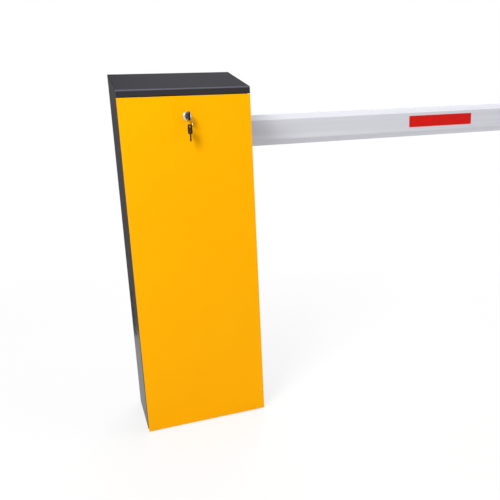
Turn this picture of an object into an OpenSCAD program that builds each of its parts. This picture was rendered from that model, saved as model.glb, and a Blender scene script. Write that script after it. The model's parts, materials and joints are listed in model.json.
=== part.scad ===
// Automatic boom barrier: a floor cabinet with a tilting front cover, a geared drive with a
// parallel crank linkage and a balance spring, and a boom carried on a shaft behind the cabinet.
// Millimetres, +X along the lowered boom, +Y to the back, +Z up, origin at the base's centre.

/* [Cabinet] */
// Width of the cabinet across its front
cab_w = 350; // [340:1:400]
// Depth of the cabinet from the cover's face to the back panel's outer face
cab_d = 200; // [198:1:230]
// Height of the roof's top at the back panel
cab_h = 1000; // [980:1:1060]
// Sheet thickness of the side and back panels
sheet_t = 2; // [1.5:0.1:3]
// Thickness of the base plate
base_t = 10; // [8:1:14]
// Width of the folded front flange of each side panel
panel_flange = 22; // [20:1:26]

/* [Roof] */
// Sheet thickness of the roof
roof_t = 2; // [1.5:0.1:3]
// How far the roof falls from the back to the front
roof_fall = 54; // [45:1:58]
// Outer radius of the bend between slope and front lip
roof_bend_r = 5; // [4:1:18]
// Height of the front lip below the point where the slope would meet it
lip_h = 18; // [16:1:22]
// Depth of the lip's folded edge
lip_flange = 12; // [8:1:13]
// Height of the roof's rear skirt
skirt_h = 24; // [20:1:40]

/* [Front cover] */
// Sheet thickness of the cover
cover_t = 1.5; // [1:0.1:2]
// Depth of the cover's folded sides
cover_fold = 18; // [17:0.5:18.5]
// How far the folded sides lean inward at their rear edge
cover_lean = 3; // [0:0.5:4]
// Gap between the cover's top edge and the roof's lip
cover_top_gap = 1; // [1:0.5:4]
// Gap between the cover's bottom edge and the ground
cover_ground_gap = 4; // [3.5:0.5:6]
// Width of the inward edge that meets the seal
cover_lip = 20; // [16:1:22]
// Height of the cover's hinge axis
hinge_z = 14; // [13.8:0.1:15]
// Diameter of the hinge pins
hinge_pin_d = 8; // [6:0.5:9]
// Distance of each hinge bracket from the cabinet's side
hinge_inset = 30; // [29:1:55]

/* [Lock and keys] */
// Distance of the lock's axis below the roof's lip
lock_drop = 52; // [43:1:78]
// Diameter of the lock's front flange
lock_head_d = 22; // [20:0.5:26]
// Thread diameter of the lock's barrel
lock_barrel_d = 18; // [16:0.5:19]
// Diameter of the turning plug
lock_plug_d = 12; // [10:0.5:13]
// How far the turned cam reaches above the lip's bottom edge
cam_reach = 8; // [5:1:10]
// Thickness of the key's moulded head
key_head_t = 5; // [4:0.5:5.5]
// Length of the key head's slot between its round ends
key_slot = 11; // [6:0.5:11]
// Middle radius of the key ring
ring_r = 9; // [8.5:0.5:12]
// Wire diameter of the key ring
ring_wire_d = 1.8; // [1.2:0.1:2]

/* [Boom] */
// Length of the boom's profile
boom_len = 3000; // [2500:50:4000]
// How far the boom reaches behind the shaft's axis
boom_tail = 120; // [116:1:160]
// Distance of the boom's axis below the roof's rear edge
boom_drop = 175; // [170:1:185]
// Height of the boom's profile
boom_h = 96; // [90:1:100]
// Thickness of the boom's profile
boom_w = 45; // [40:1:50]
// Height of each bevel on the profile
bevel_h = 17.5; // [10:0.5:25]
// Depth of each bevel on the profile
bevel_d = 13; // [8:0.5:16]
// Wall of the boom's profile
boom_wall = 2; // [1.5:0.1:3]
// Gap between the back panel and the boom's near face
boom_gap = 26; // [24:1:40]
// Length of one reflective strip
strip_len = 255; // [150:5:300]
// Height of one reflective strip
strip_h = 38; // [25:1:50]
// Distance between the strips' middles
strip_pitch = 620; // [400:10:700]
// Place of the first strip's middle along the boom
strip_first_x = 948; // [500:1:1000]

/* [Drive] */
// Distance from the cover's face to the mechanism plate's front
plate_inset = 80; // [79:1:84]
// Thickness of the mechanism plate
plate_t = 6; // [5:0.5:8]
// Diameter of the main shaft
shaft_d = 30; // [26:1:34]
// Length of each arm of the shaft's lever and of the crank
arm_r = 90; // [80:1:96]
// Height of the crank's shaft
crank_z = 480; // [470:1:490]
// Thickness of the lever and of the crank
arm_t = 12; // [10:1:14]
// Width of the lever and of the crank
arm_w = 40; // [34:1:44]
// Diameter of the linkage pins
pin_d = 14; // [12:0.5:16]
// Diameter of the gearbox's output shaft
out_shaft_d = 25; // [20:1:28]
// Diameter of the motor's body
motor_d = 112; // [100:1:114]
// Length of the motor's body
motor_len = 190; // [160:1:195]

/* [Balance spring] */
// Wire diameter of the balance spring
spring_wire_d = 5; // [4:0.5:6]
// Middle radius of the balance spring's coil
spring_r = 19; // [15:0.5:19.5]
// Number of curls of the balance spring
spring_turns = 20; // [12:1:24]
// Height of the balance spring's lower end above its bracket
adjuster_rise = 64; // [60:1:70]

/* [Base fixing] */
// Distance between the anchor holes across the width
anchor_dx = 250; // [200:5:250]
// Distance between the anchor holes across the depth
anchor_dy = 110; // [90:5:115]
// Diameter of the anchor holes
anchor_hole_d = 14; // [10:1:18]
// Diameter of the cable entry
cable_hole_d = 50; // [30:1:60]

/* [Hidden] */
$fn = 48;

// Clearances: shaft in bore, open linkage pivot, faces that pass each other, screw holes
fit_gap = 0.05;
open_gap = 0.5;
side_gap = 0.5;
hole_gap = 0.5;
eps = 1;

// Cabinet planes
half_w = cab_w / 2;
in_w = half_w - sheet_t;
y_front = -cab_d / 2;
y_back = cab_d / 2;
y_in_back = y_back - sheet_t;
roof_front_h = cab_h - roof_fall;
lip_bottom_z = roof_front_h - lip_h;
roof_slope = atan(roof_fall / cab_d);
bend_run = roof_bend_r * tan((90 - roof_slope) / 2);
cover_y = y_front + cover_t;
fold_y = y_front + cover_fold;
seal_gap = 0.3;
seal_t = 2.7;
panel_y = fold_y + seal_gap + seal_t;
base_inset = 3;
base_y = panel_y + base_inset;
cover_top = lip_bottom_z - cover_top_gap;
hinge_x = half_w - hinge_inset;
hinge_y = y_front + cover_fold / 2;

// Mechanism planes, counted from the mechanism plate
boom_z = cab_h - boom_drop;
rod_len = boom_z - crank_z;
plate_y = y_front + plate_inset;
plate_back = plate_y + plate_t;
plate_below = 58;
plate_above = 88;
plate_bottom = crank_z - plate_below;
plate_top = boom_z + plate_above;
arm_gap = 12;
arm_y = plate_y - arm_gap - arm_t;
rod_end_t = 10;
shank_d = 22;
shank_gap = 2;
rod_axis_y = arm_y - shank_d / 2 - shank_gap;
rod_y = rod_axis_y - rod_end_t / 2;
pin_tip = 3;
pin_front = rod_y - pin_tip;
arm_x = arm_r * cos(45);
arm_dz = arm_r * sin(45);
link_t = 6;
link_gap = 1;
spring_y = arm_y - link_gap - link_t / 2;
spring_x = -arm_x;
link_len = 84;
spring_top = boom_z + arm_dz - link_len;
shelf_drop = 34;
shelf_z = crank_z - shelf_drop;
spring_bottom = shelf_z + adjuster_rise;
spring_len = spring_top - spring_bottom;

// Boom planes behind the cabinet
boom_y = y_back + boom_gap;
holder_t = 6;
holder_y = boom_y - side_gap - holder_t;
holder_len = 220;
holder_margin = 27;
holder_h = boom_h + 2 * holder_margin;
clamp_t = 5;
clamp_y = boom_y + boom_w + side_gap;
clamp_bolt_d = 10;
clamp_edge_x = 20;
clamp_edge_z = 12;
clamp_bolt_x = holder_len / 2 - clamp_edge_x;
clamp_bolt_z = holder_h / 2 - clamp_edge_z;
hub_d = 64;

function roof_top(y) = roof_front_h + (y - y_front) * tan(roof_slope);
function roof_under(y) = roof_top(y) - roof_t / cos(roof_slope);
// Points round the roof's front bend, at a distance in from the outer face
bend_steps = 10;
function bend_points(inset) = [
    for (a = [0 : bend_steps])
        let (angle = 180 - a / bend_steps * (90 - roof_slope))
        [y_front + roof_bend_r + (roof_bend_r - inset) * cos(angle),
         roof_front_h - bend_run + (roof_bend_r - inset) * sin(angle)]
];
// One quarter of the boom's eight-sided section, at a distance in from the outer face
bevel_len = sqrt(bevel_h * bevel_h + bevel_d * bevel_d);
function bevel_reach(inset) =
    (bevel_h * boom_w / 2 + bevel_d * (boom_h / 2 - bevel_h)) - inset * bevel_len;
function boom_section(inset) =
    let (
        w = boom_w / 2 - inset,
        h = boom_h / 2 - inset,
        low = (bevel_reach(inset) - bevel_h * w) / bevel_d,
        top = (bevel_reach(inset) - bevel_d * h) / bevel_h
    )
    [[w, low], [top, h], [-top, h], [-w, low], [-w, -low], [-top, -h], [top, -h], [w, -low]];

// Rod along Y from a front plane
module y_rod(x, y, z, d, len) {
    translate([x, y, z])
        rotate([-90, 0, 0])
            cylinder(d = d, h = len);
}

// Rod along X from a left plane
module x_rod(x, y, z, d, len) {
    translate([x, y, z])
        rotate([0, 90, 0])
            cylinder(d = d, h = len);
}

// Six-sided head or nut along Y
module y_hex(x, y, z, flats, len) {
    translate([x, y, z])
        rotate([-90, 0, 0])
            cylinder(d = flats / cos(30), h = len, $fn = 6);
}

// Plate in the YZ plane from a left plane
module yz_plate(x, t, points) {
    translate([x, 0, 0])
        rotate([90, 0, 90])
            linear_extrude(t)
                polygon(points);
}

// Flat drawing raised along Y from a front plane
module y_raise(y, t) {
    translate([0, y + t, 0])
        rotate([90, 0, 0])
            linear_extrude(t)
                children();
}

// Box between two corners
module block(low, high) {
    translate(low)
        cube(high - low);
}

// The four corners of a rectangle in the XZ plane
module at_corners(dx, dz) {
    for (sx = [-1, 1], sz = [-1, 1])
        translate([sx * dx, 0, sz * dz])
            children();
}

// Base and panels

cable_x = 90;
cable_y = 45;
grommet_wall = 4;

module base_plate() {
    color("dimgray")
        difference() {
            block([-in_w, base_y, 0], [in_w, y_in_back, base_t]);
            for (sx = [-1, 1], sy = [-1, 1])
                translate([sx * anchor_dx / 2, sy * anchor_dy / 2, -eps])
                    cylinder(d = anchor_hole_d, h = base_t + 2 * eps);
            translate([cable_x, cable_y, -eps])
                cylinder(d = cable_hole_d, h = base_t + 2 * eps);
        }
}

module cable_grommet() {
    lip = 3;
    color("black")
        translate([cable_x, cable_y, 0])
            difference() {
                union() {
                    cylinder(d = cable_hole_d - 2 * fit_gap, h = base_t);
                    translate([0, 0, base_t])
                        cylinder(d = cable_hole_d + 4 * lip, h = lip);
                }
                translate([0, 0, -eps])
                    cylinder(d = cable_hole_d - 2 * grommet_wall, h = base_t + lip + 2 * eps);
            }
}

louvre_count = 6;
louvre_pitch = 24.5;
louvre_z = 262;
louvre_y = 2;
louvre_len = 72;
louvre_h = 7;
slit_len = 24;
slit_h = 4;
slit_z = 14;
slit_edge = 2;
flange_foot = 30;
flange_head = 10;

// Slot with round ends through a side panel
module side_slot(y, z, len, h) {
    for (end = [h / 2, len - h / 2])
        translate([-half_w - eps, y + end, z])
            rotate([0, 90, 0])
                cylinder(d = h, h = sheet_t + 2 * eps);
    block([-half_w - eps, y + h / 2, z - h / 2], [-in_w + eps, y + len - h / 2, z + h / 2]);
}

// The panel's top corner runs forward over the cover, to close the roof's bend
module side_panel() {
    nose_z = lip_bottom_z + roof_t;
    inner = bend_points(roof_t);
    difference() {
        union() {
            yz_plate(-half_w, sheet_t, concat(
                [[panel_y, nose_z], [panel_y, 0], [y_back, 0], [y_back, roof_under(y_back)]],
                [for (i = [len(inner) - 1 : -1 : 0]) inner[i]],
                [[y_front + roof_t, nose_z]]
            ));
            block([-half_w, panel_y, base_t + flange_foot],
                  [-half_w + panel_flange, panel_y + sheet_t, lip_bottom_z - flange_head]);
        }
        for (i = [0 : louvre_count - 1])
            side_slot(louvre_y, louvre_z + i * louvre_pitch, louvre_len, louvre_h);
        side_slot(y_in_back - slit_len - slit_edge, slit_z, slit_len, slit_h);
    }
}

module side_panel_left() {
    color("#3b393e")
        side_panel();
}

module side_panel_right() {
    color("#3b393e")
        mirror([1, 0, 0])
            side_panel();
}

seal_hole_d = 46;
screw_edge = 40;
screw_x = in_w - screw_edge;
screw_d = 6;
screw_z = roof_under(y_back) - skirt_h / 2;

module back_panel() {
    color("#3b393e")
        difference() {
            block([-in_w, y_in_back, 0], [in_w, y_back, roof_under(y_in_back)]);
            y_rod(0, y_in_back - eps, boom_z, seal_hole_d, sheet_t + 2 * eps);
            for (x = [-screw_x, 0, screw_x])
                y_rod(x, y_in_back - eps, screw_z, screw_d + hole_gap, sheet_t + 2 * eps);
        }
}

module top_cover() {
    skirt_y = y_back + roof_t;
    skirt_bottom = roof_under(y_back) - skirt_h;
    inner = bend_points(roof_t);
    color("#2b292f")
        difference() {
            yz_plate(-half_w, cab_w, concat(
                [[y_front, lip_bottom_z]],
                bend_points(0),
                [[skirt_y, roof_top(skirt_y)], [skirt_y, skirt_bottom], [y_back, skirt_bottom],
                 [y_back, roof_under(y_back)]],
                [for (i = [len(inner) - 1 : -1 : 0]) inner[i]],
                [[y_front + roof_t, lip_bottom_z + roof_t],
                 [y_front + lip_flange, lip_bottom_z + roof_t],
                 [y_front + lip_flange, lip_bottom_z]]
            ));
            for (x = [-screw_x, 0, screw_x])
                y_rod(x, y_back - eps, screw_z, screw_d + hole_gap, roof_t + 2 * eps);
        }
}

module roof_screws() {
    head_d = 11;
    head_t = 3;
    tail = 5;
    color("silver")
        for (x = [-screw_x, 0, screw_x]) {
            y_rod(x, y_in_back - tail, screw_z, screw_d, sheet_t + roof_t + tail);
            y_rod(x, y_back + roof_t, screw_z, head_d, head_t);
        }
}

module door_seals() {
    seal_w = 12;
    seal_edge = 3;
    seal_foot = 60;
    seal_head = 14;
    seal_x = half_w - panel_flange + seal_edge;
    color("black")
        for (sx = [-1, 1])
            block([sx * (seal_x + seal_w / 2) - seal_w / 2, panel_y - seal_t, base_t + seal_foot],
                  [sx * (seal_x + seal_w / 2) + seal_w / 2, panel_y, lip_bottom_z - seal_head]);
}

// Front cover and its hinge

bracket_t = 5;
ear_t = 4;
ear_x = hinge_x + bracket_t + side_gap;
knuckle_d = 14;

module hinge_brackets() {
    foot_len = 34;
    foot_w = 22;
    color("gray")
        for (side = [0, 1])
            mirror([side, 0, 0])
                difference() {
                    union() {
                        block([hinge_x, hinge_y, hinge_z - knuckle_d / 2],
                              [hinge_x + bracket_t, base_y, hinge_z + knuckle_d / 2]);
                        block([hinge_x, base_y - eps, base_t],
                              [hinge_x + bracket_t, base_y + foot_len, hinge_z + knuckle_d / 2]);
                        block([hinge_x, base_y, base_t],
                              [hinge_x + foot_w, base_y + foot_len, base_t + bracket_t]);
                        x_rod(hinge_x, hinge_y, hinge_z, knuckle_d, bracket_t);
                    }
                    x_rod(hinge_x - eps, hinge_y, hinge_z, hinge_pin_d + 2 * fit_gap,
                          bracket_t + 2 * eps);
                }
}

module hinge_pins() {
    head_t = 3;
    head_rim = 2;
    tail = 3;
    color("silver")
        for (side = [0, 1])
            mirror([side, 0, 0]) {
                x_rod(hinge_x - eps, hinge_y, hinge_z, hinge_pin_d, ear_x + ear_t + tail - hinge_x + eps);
                x_rod(hinge_x - head_t, hinge_y, hinge_z, hinge_pin_d + 2 * head_rim, head_t);
            }
}

fold_drop = 4;
fold_bottom = hinge_z - fold_drop;
lip_start = 70;

module front_cover() {
    ear_top = 60;
    bracket_room = 15;
    bottom_fold_w = hinge_x - bracket_room;
    top_fold = 11;
    lip_end = 20;
    color("#ffbe00")
        difference() {
            union() {
                block([-half_w, y_front, cover_ground_gap], [half_w, cover_y, cover_top]);
                for (side = [0, 1])
                    mirror([side, 0, 0]) {
                        translate([0, 0, fold_bottom])
                            linear_extrude(cover_top - fold_bottom)
                                polygon([
                                    [half_w - cover_t, y_front],
                                    [half_w, y_front],
                                    [half_w - cover_lean, fold_y],
                                    [half_w - cover_lean - cover_t, fold_y]
                                ]);
                        block([half_w - cover_lip, fold_y - cover_t, lip_start],
                              [half_w - cover_lean - eps, fold_y, cover_top - lip_end]);
                        block([ear_x, y_front, hinge_z], [ear_x + ear_t, hinge_y, ear_top]);
                        x_rod(ear_x, hinge_y, hinge_z, knuckle_d, ear_t);
                    }
                block([-half_w, y_front, cover_top - cover_t],
                      [half_w, y_front + top_fold, cover_top]);
                block([-bottom_fold_w, y_front, cover_ground_gap],
                      [bottom_fold_w, fold_y, cover_ground_gap + cover_t]);
            }
            for (side = [0, 1])
                mirror([side, 0, 0])
                    x_rod(ear_x - eps, hinge_y, hinge_z, hinge_pin_d + 2 * fit_gap,
                          ear_t + 2 * eps);
            y_rod(0, y_front - eps, lock_z, lock_barrel_d + 2 * fit_gap, cover_t + 2 * eps);
        }
}

// Lock and keys

head_t = 5;
lock_face = y_front - head_t;
lock_z = lip_bottom_z - lock_drop;
cam_len = lock_drop + cam_reach;
cam_gap = 2;
cam_y = y_front + lip_flange + cam_gap;
cam_screw_d = 4;
plug_neck_d = lock_plug_d - 4;
cam_t = 3;
cam_w = 16;

module lock_body() {
    color("silver")
        difference() {
            union() {
                y_rod(0, lock_face, lock_z, lock_head_d, head_t);
                y_rod(0, y_front, lock_z, lock_barrel_d, cam_y - side_gap - y_front);
            }
            y_rod(0, lock_face - eps, lock_z, lock_plug_d + 2 * fit_gap, cam_y - lock_face + 2 * eps);
        }
}

module lock_nut() {
    nut_t = 6;
    nut_rim = 3;
    flats = lock_barrel_d + 2 * nut_rim;
    color("silver")
        difference() {
            y_hex(0, cover_y, lock_z, flats, nut_t);
            y_rod(0, cover_y - eps, lock_z, lock_barrel_d + 2 * fit_gap, nut_t + 2 * eps);
        }
}

blade_t = 2;
blade_h = 7;
plug_sink = 0.5;
plug_face = lock_face + plug_sink;
slot_end = 2;

module lock_plug() {
    color("gainsboro")
        difference() {
            union() {
                y_rod(0, plug_face, lock_z, lock_plug_d, cam_y - plug_face);
                y_rod(0, cam_y - eps, lock_z, plug_neck_d, cam_t + eps);
            }
            block([-blade_t / 2 - fit_gap, plug_face - eps, lock_z - blade_h / 2 - fit_gap],
                  [blade_t / 2 + fit_gap, cam_y - slot_end, lock_z + blade_h / 2 + fit_gap]);
            y_rod(0, cam_y, lock_z, cam_screw_d, cam_t + eps);
        }
}

// Tongue that lies across while the key stands upright, and reaches behind the roof's lip when turned
module lock_cam() {
    bore = plug_neck_d + 2 * fit_gap;
    color("silver")
        difference() {
            union() {
                y_rod(0, cam_y, lock_z, cam_w, cam_t);
                block([-cam_len, cam_y, lock_z - cam_w / 2], [0, cam_y + cam_t, lock_z + cam_w / 2]);
            }
            y_rod(0, cam_y - eps, lock_z, bore, cam_t + 2 * eps);
        }
}

module cam_screw() {
    flats = 10;
    screw_head_t = 4;
    color("silver") {
        y_rod(0, cam_y + fit_gap, lock_z, cam_screw_d - 2 * fit_gap, cam_t);
        y_hex(0, cam_y + cam_t, lock_z, flats, screw_head_t);
    }
}

key_head_len = 25;
key_head_h = 22;
key_hole_d = 6;
key_neck = 2.5;
key_from_hole = 6;
key_hole_y = plug_face - key_neck - key_head_len + key_from_hole;
key_blade = cam_y - slot_end - side_gap - plug_face + key_neck;
ring_in = ring_r - ring_wire_d / 2;
ring_sag = ring_in - sqrt(ring_in * ring_in - key_head_t * key_head_t / 4);
ring_top = lock_z - key_slot / 2 - key_hole_d / 2 + ring_wire_d / 2 + ring_sag + fit_gap;
ring_z = ring_top - ring_r;
ring_bottom = ring_z - ring_r;
spare_slack = 0.3;
spare_hole_z = ring_bottom + ring_wire_d / 2 - key_hole_d / 2 + ring_sag + spare_slack + fit_gap;
spare_turn = 10;

// Key with its head's slot at the origin, lying in the YZ plane, blade along +Y
module plain_key() {
    corner = 5;
    head_back = key_head_len - key_from_hole;
    color("#18181a")
        difference() {
            union() {
                translate([-key_head_t / 2, 0, 0])
                    rotate([90, 0, 90])
                        linear_extrude(key_head_t)
                            union() {
                                for (y = [-key_from_hole + corner, head_back - corner],
                                     z = [-key_head_h / 2 + corner, key_head_h / 2 - corner])
                                    translate([y, z])
                                        circle(corner);
                                translate([-key_from_hole, -key_head_h / 2 + corner])
                                    square([key_head_len, key_head_h - 2 * corner]);
                                translate([-key_from_hole + corner, -key_head_h / 2])
                                    square([key_head_len - 2 * corner, key_head_h]);
                            }
                block([-blade_t / 2, head_back - eps, -blade_h / 2],
                      [blade_t / 2, head_back + key_blade, blade_h / 2]);
            }
            for (z = [-key_slot / 2, key_slot / 2])
                translate([-key_head_t, 0, z])
                    rotate([0, 90, 0])
                        cylinder(d = key_hole_d, h = 2 * key_head_t);
            block([-key_head_t, -key_hole_d / 2, -key_slot / 2],
                  [key_head_t, key_hole_d / 2, key_slot / 2]);
        }
}

module key() {
    translate([0, key_hole_y, lock_z])
        plain_key();
}

module key_ring() {
    color("#b9975b")
        translate([0, key_hole_y, ring_z])
            rotate([90, 0, 0])
                rotate_extrude()
                    translate([ring_r, 0])
                        circle(d = ring_wire_d);
}

module spare_key() {
    translate([0, key_hole_y, spare_hole_z])
        rotate([0, 0, spare_turn])
            rotate([-90, 0, 0])
                plain_key();
}

// Mechanism plate, main shaft and its bearings

flange_depth = 28;
bolt_d = 8;
bolt_flats = 13;
bolt_head_t = 5.5;
bearing_w = 13;
bearing_d = shaft_d + 25;
housing_d = bearing_d + 21;
housing_bolt = 42;
housing_flange = 110;
housing_flange_t = 10;
housing_end = y_in_back - 10;
gear_bolt_x = 38;
gear_bolt_z = 48;
gear_w = 60;
gear_h = 62;
gear_depth = 94;
shelf_t = 8;
leg_t = 6;
leg_h = 52;
leg_bolt = 17;
leg_bolt_rise = 36;
shaft_room = 5;
out_shaft_room = 3;

// Places of the mechanism's bolts in the XZ plane
housing_bolts_at = [for (sx = [-1, 1], sz = [-1, 1]) [sx * housing_bolt, boom_z + sz * housing_bolt]];
gear_bolts_at = [for (sx = [-1, 1], sz = [-1, 1]) [sx * gear_bolt_x, crank_z + sz * gear_bolt_z]];
bracket_bolts_at = [for (sx = [-1, 1]) [spring_x + sx * leg_bolt, shelf_z + leg_bolt_rise]];

module mechanism_plate() {
    color("lightsteelblue")
        difference() {
            union() {
                block([-in_w, plate_y, plate_bottom], [in_w, plate_back, plate_top]);
                for (side = [0, 1])
                    mirror([side, 0, 0])
                        block([in_w - plate_t, plate_y, plate_bottom],
                              [in_w, plate_y + flange_depth, plate_top]);
            }
            y_rod(0, plate_y - eps, boom_z, shaft_d + 2 * shaft_room, plate_t + 2 * eps);
            y_rod(0, plate_y - eps, crank_z, out_shaft_d + 2 * out_shaft_room, plate_t + 2 * eps);
            for (p = concat(housing_bolts_at, gear_bolts_at, bracket_bolts_at))
                y_rod(p[0], plate_y - eps, p[1], bolt_d + hole_gap, plate_t + 2 * eps);
        }
}

module mechanism_bolts() {
    color("silver") {
        for (p = concat(housing_bolts_at, gear_bolts_at)) {
            y_hex(p[0], plate_y - bolt_head_t, p[1], bolt_flats, bolt_head_t);
            y_rod(p[0], plate_y - eps, p[1], bolt_d, plate_t + housing_flange_t + eps);
        }
        for (p = bracket_bolts_at) {
            y_hex(p[0], plate_y - leg_t - bolt_head_t, p[1], bolt_flats, bolt_head_t);
            y_rod(p[0], plate_y - leg_t - eps, p[1], bolt_d, plate_t + leg_t);
        }
    }
}

module shaft_housing() {
    color("slategray")
        difference() {
            union() {
                block([-housing_flange / 2, plate_back, boom_z - housing_flange / 2],
                      [housing_flange / 2, plate_back + housing_flange_t,
                       boom_z + housing_flange / 2]);
                y_rod(0, plate_back, boom_z, housing_d, housing_end - plate_back);
            }
            y_rod(0, plate_back - eps, boom_z, shaft_d + 2 * shaft_room, housing_end - plate_back + 2 * eps);
            y_rod(0, plate_back - eps, boom_z, bearing_d + 2 * fit_gap, bearing_w + eps);
            y_rod(0, housing_end - bearing_w, boom_z, bearing_d + 2 * fit_gap, bearing_w + eps);
            for (p = housing_bolts_at)
                y_rod(p[0], plate_back - eps, p[1], bolt_d + hole_gap, housing_flange_t + 2 * eps);
        }
}

module shaft_bearings() {
    color("gainsboro")
        for (y = [plate_back, housing_end - bearing_w])
            difference() {
                y_rod(0, y, boom_z, bearing_d, bearing_w);
                y_rod(0, y - eps, boom_z, shaft_d + 2 * fit_gap, bearing_w + 2 * eps);
            }
}

seal_lip_t = 3;
seal_rim = 6;

module shaft_seal() {
    color("black")
        difference() {
            union() {
                y_rod(0, y_in_back, boom_z, seal_hole_d - 2 * fit_gap, sheet_t);
                y_rod(0, y_back, boom_z, seal_hole_d + 2 * seal_rim, seal_lip_t);
            }
            y_rod(0, y_in_back - eps, boom_z, shaft_d + 2 * fit_gap, sheet_t + seal_lip_t + 2 * eps);
        }
}

shaft_out = 2;
shaft_front = arm_y - shaft_out;
shaft_end = holder_y + holder_t - side_gap;
hub_gap = 3;
hub_y = y_back + seal_lip_t + hub_gap;
key_w = 8;
key_depth = 4;
key_rise = 3;
lever_bolt_d = 10;
lever_bolt_len = 24;
tap_room = 2;

// Feather key on the shaft's upper side, grown by a clearance for its slots
module feather_key(y, len, grow) {
    block([-key_w / 2 - grow, y - grow, boom_z + shaft_d / 2 - key_depth - grow],
          [key_w / 2 + grow, y + len + grow, boom_z + shaft_d / 2 + key_rise + grow]);
}

module both_keys(grow) {
    feather_key(arm_y + 1, arm_t + 2, grow);
    feather_key(hub_y + 1, holder_y - hub_y - 2, grow);
}

module main_shaft() {
    color("lightgray")
        difference() {
            y_rod(0, shaft_front, boom_z, shaft_d, shaft_end - shaft_front);
            both_keys(fit_gap);
            y_rod(0, shaft_front - eps, boom_z, lever_bolt_d + 2 * fit_gap, lever_bolt_len + tap_room);
        }
}

module shaft_keys() {
    color("silver")
        both_keys(0);
}

lever_hub_d = 58;
boss_d = 50;
boss_t = 5;

// Outline of an arm with a hub at the origin and a pin at its far end
module arm_outline(hub) {
    translate([0, -arm_w / 2])
        square([arm_r, arm_w]);
    translate([arm_r, 0])
        circle(d = arm_w);
    circle(d = hub);
}

module shaft_lever() {
    color("#5a6068")
        difference() {
            union() {
                translate([0, 0, boom_z])
                    y_raise(arm_y, arm_t)
                        for (a = [-45, 135])
                            rotate(a)
                                arm_outline(lever_hub_d);
                y_rod(0, arm_y + arm_t - eps, boom_z, boss_d, boss_t + eps);
            }
            y_rod(0, arm_y - eps, boom_z, shaft_d + 2 * fit_gap, arm_t + boss_t + 2 * eps);
            both_keys(fit_gap);
            for (s = [-1, 1])
                y_rod(s * arm_x, arm_y - eps, boom_z - s * arm_dz, pin_d + 2 * fit_gap,
                      arm_t + 2 * eps);
        }
}

clip_t = 2;
clip_rim = 3;

// Pin fixed in an arm, with a clip at its front end
module link_pin(x, z) {
    y_rod(x, pin_front, z, pin_d, arm_y + arm_t - pin_front);
    y_rod(x, pin_front, z, pin_d + 2 * clip_rim, clip_t);
}

// Collar that keeps a rod end clear of the arm
module pin_collar(x, z) {
    collar_y = rod_y + rod_end_t + side_gap;
    y_rod(x, collar_y, z, pin_d + 2 * clip_rim, arm_y - collar_y);
}

module lever_pins() {
    color("silver")
        union() {
            for (s = [-1, 1])
                link_pin(s * arm_x, boom_z - s * arm_dz);
            pin_collar(arm_x, rod_high);
        }
}

module lever_bolt() {
    washer_t = 3;
    washer_rim = 3;
    flats = 17;
    bolt_head = 7;
    color("silver") {
        y_rod(0, shaft_front - washer_t, boom_z, shaft_d + 2 * washer_rim, washer_t);
        y_hex(0, shaft_front - washer_t - bolt_head, boom_z, flats, bolt_head);
        y_rod(0, shaft_front - eps, boom_z, lever_bolt_d, lever_bolt_len);
    }
}

// Boom and its holder

module holder_plate(y, t) {
    block([-holder_len / 2, y, boom_z - holder_h / 2], [holder_len / 2, y + t, boom_z + holder_h / 2]);
}

module clamp_holes(y, t) {
    translate([0, 0, boom_z])
        at_corners(clamp_bolt_x, clamp_bolt_z)
            y_rod(0, y - eps, 0, clamp_bolt_d + hole_gap, t + 2 * eps);
}

module boom_holder() {
    ledge_t = 5;
    ledge_short = 1;
    ledge_z = boom_h / 2 + side_gap;
    color("#3b393e")
        difference() {
            union() {
                holder_plate(holder_y, holder_t);
                y_rod(0, hub_y, boom_z, hub_d, holder_y - hub_y + eps);
                for (z = [boom_z - ledge_z - ledge_t, boom_z + ledge_z])
                    block([-holder_len / 2, holder_y, z],
                          [holder_len / 2, boom_y + boom_w - ledge_short, z + ledge_t]);
            }
            y_rod(0, hub_y - eps, boom_z, shaft_d + 2 * fit_gap, holder_y + holder_t - hub_y + 2 * eps);
            both_keys(fit_gap);
            clamp_holes(holder_y, holder_t);
        }
}

module boom_clamp_plate() {
    color("#3b393e")
        difference() {
            holder_plate(clamp_y, clamp_t);
            clamp_holes(clamp_y, clamp_t);
        }
}

clamp_head_t = 6.5;
clamp_flats = 16;
clamp_nut_t = 8;

module clamp_bolts() {
    tail = 4;
    color("silver")
        translate([0, 0, boom_z])
            at_corners(clamp_bolt_x, clamp_bolt_z) {
                y_hex(0, holder_y - clamp_head_t, 0, clamp_flats, clamp_head_t);
                y_rod(0, holder_y - eps, 0, clamp_bolt_d,
                      clamp_y + clamp_t + clamp_nut_t + tail - holder_y + eps);
            }
}

module clamp_nuts() {
    color("silver")
        translate([0, 0, boom_z])
            at_corners(clamp_bolt_x, clamp_bolt_z)
                difference() {
                    y_hex(0, clamp_y + clamp_t, 0, clamp_flats, clamp_nut_t);
                    y_rod(0, clamp_y + clamp_t - eps, 0, clamp_bolt_d + 2 * fit_gap,
                          clamp_nut_t + 2 * eps);
                }
}

// Solid bar of the boom's section
module boom_bar(x, len, inset) {
    translate([x, boom_y + boom_w / 2, boom_z])
        rotate([90, 0, 90])
            linear_extrude(len)
                polygon(boom_section(inset));
}

module boom() {
    color("#d2d3da")
        difference() {
            boom_bar(-boom_tail, boom_len, 0);
            boom_bar(-boom_tail - eps, boom_len + 2 * eps, boom_wall);
        }
}

module boom_caps() {
    cap_t = 3;
    plug_len = 18;
    plug_gap = 0.2;
    boom_tip = boom_len - boom_tail;
    color("#18181a") {
        boom_bar(-boom_tail - cap_t, cap_t, 0);
        boom_bar(-boom_tail - eps, plug_len + eps, boom_wall + plug_gap);
        boom_bar(boom_tip, cap_t, 0);
        boom_bar(boom_tip - plug_len, plug_len + eps, boom_wall + plug_gap);
    }
}

strip_t = 0.5;
strip_dz = 1.5;
strip_room = boom_len - boom_tail - strip_first_x - strip_len / 2;
strip_count = floor(strip_room / strip_pitch) + 1;

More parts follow.
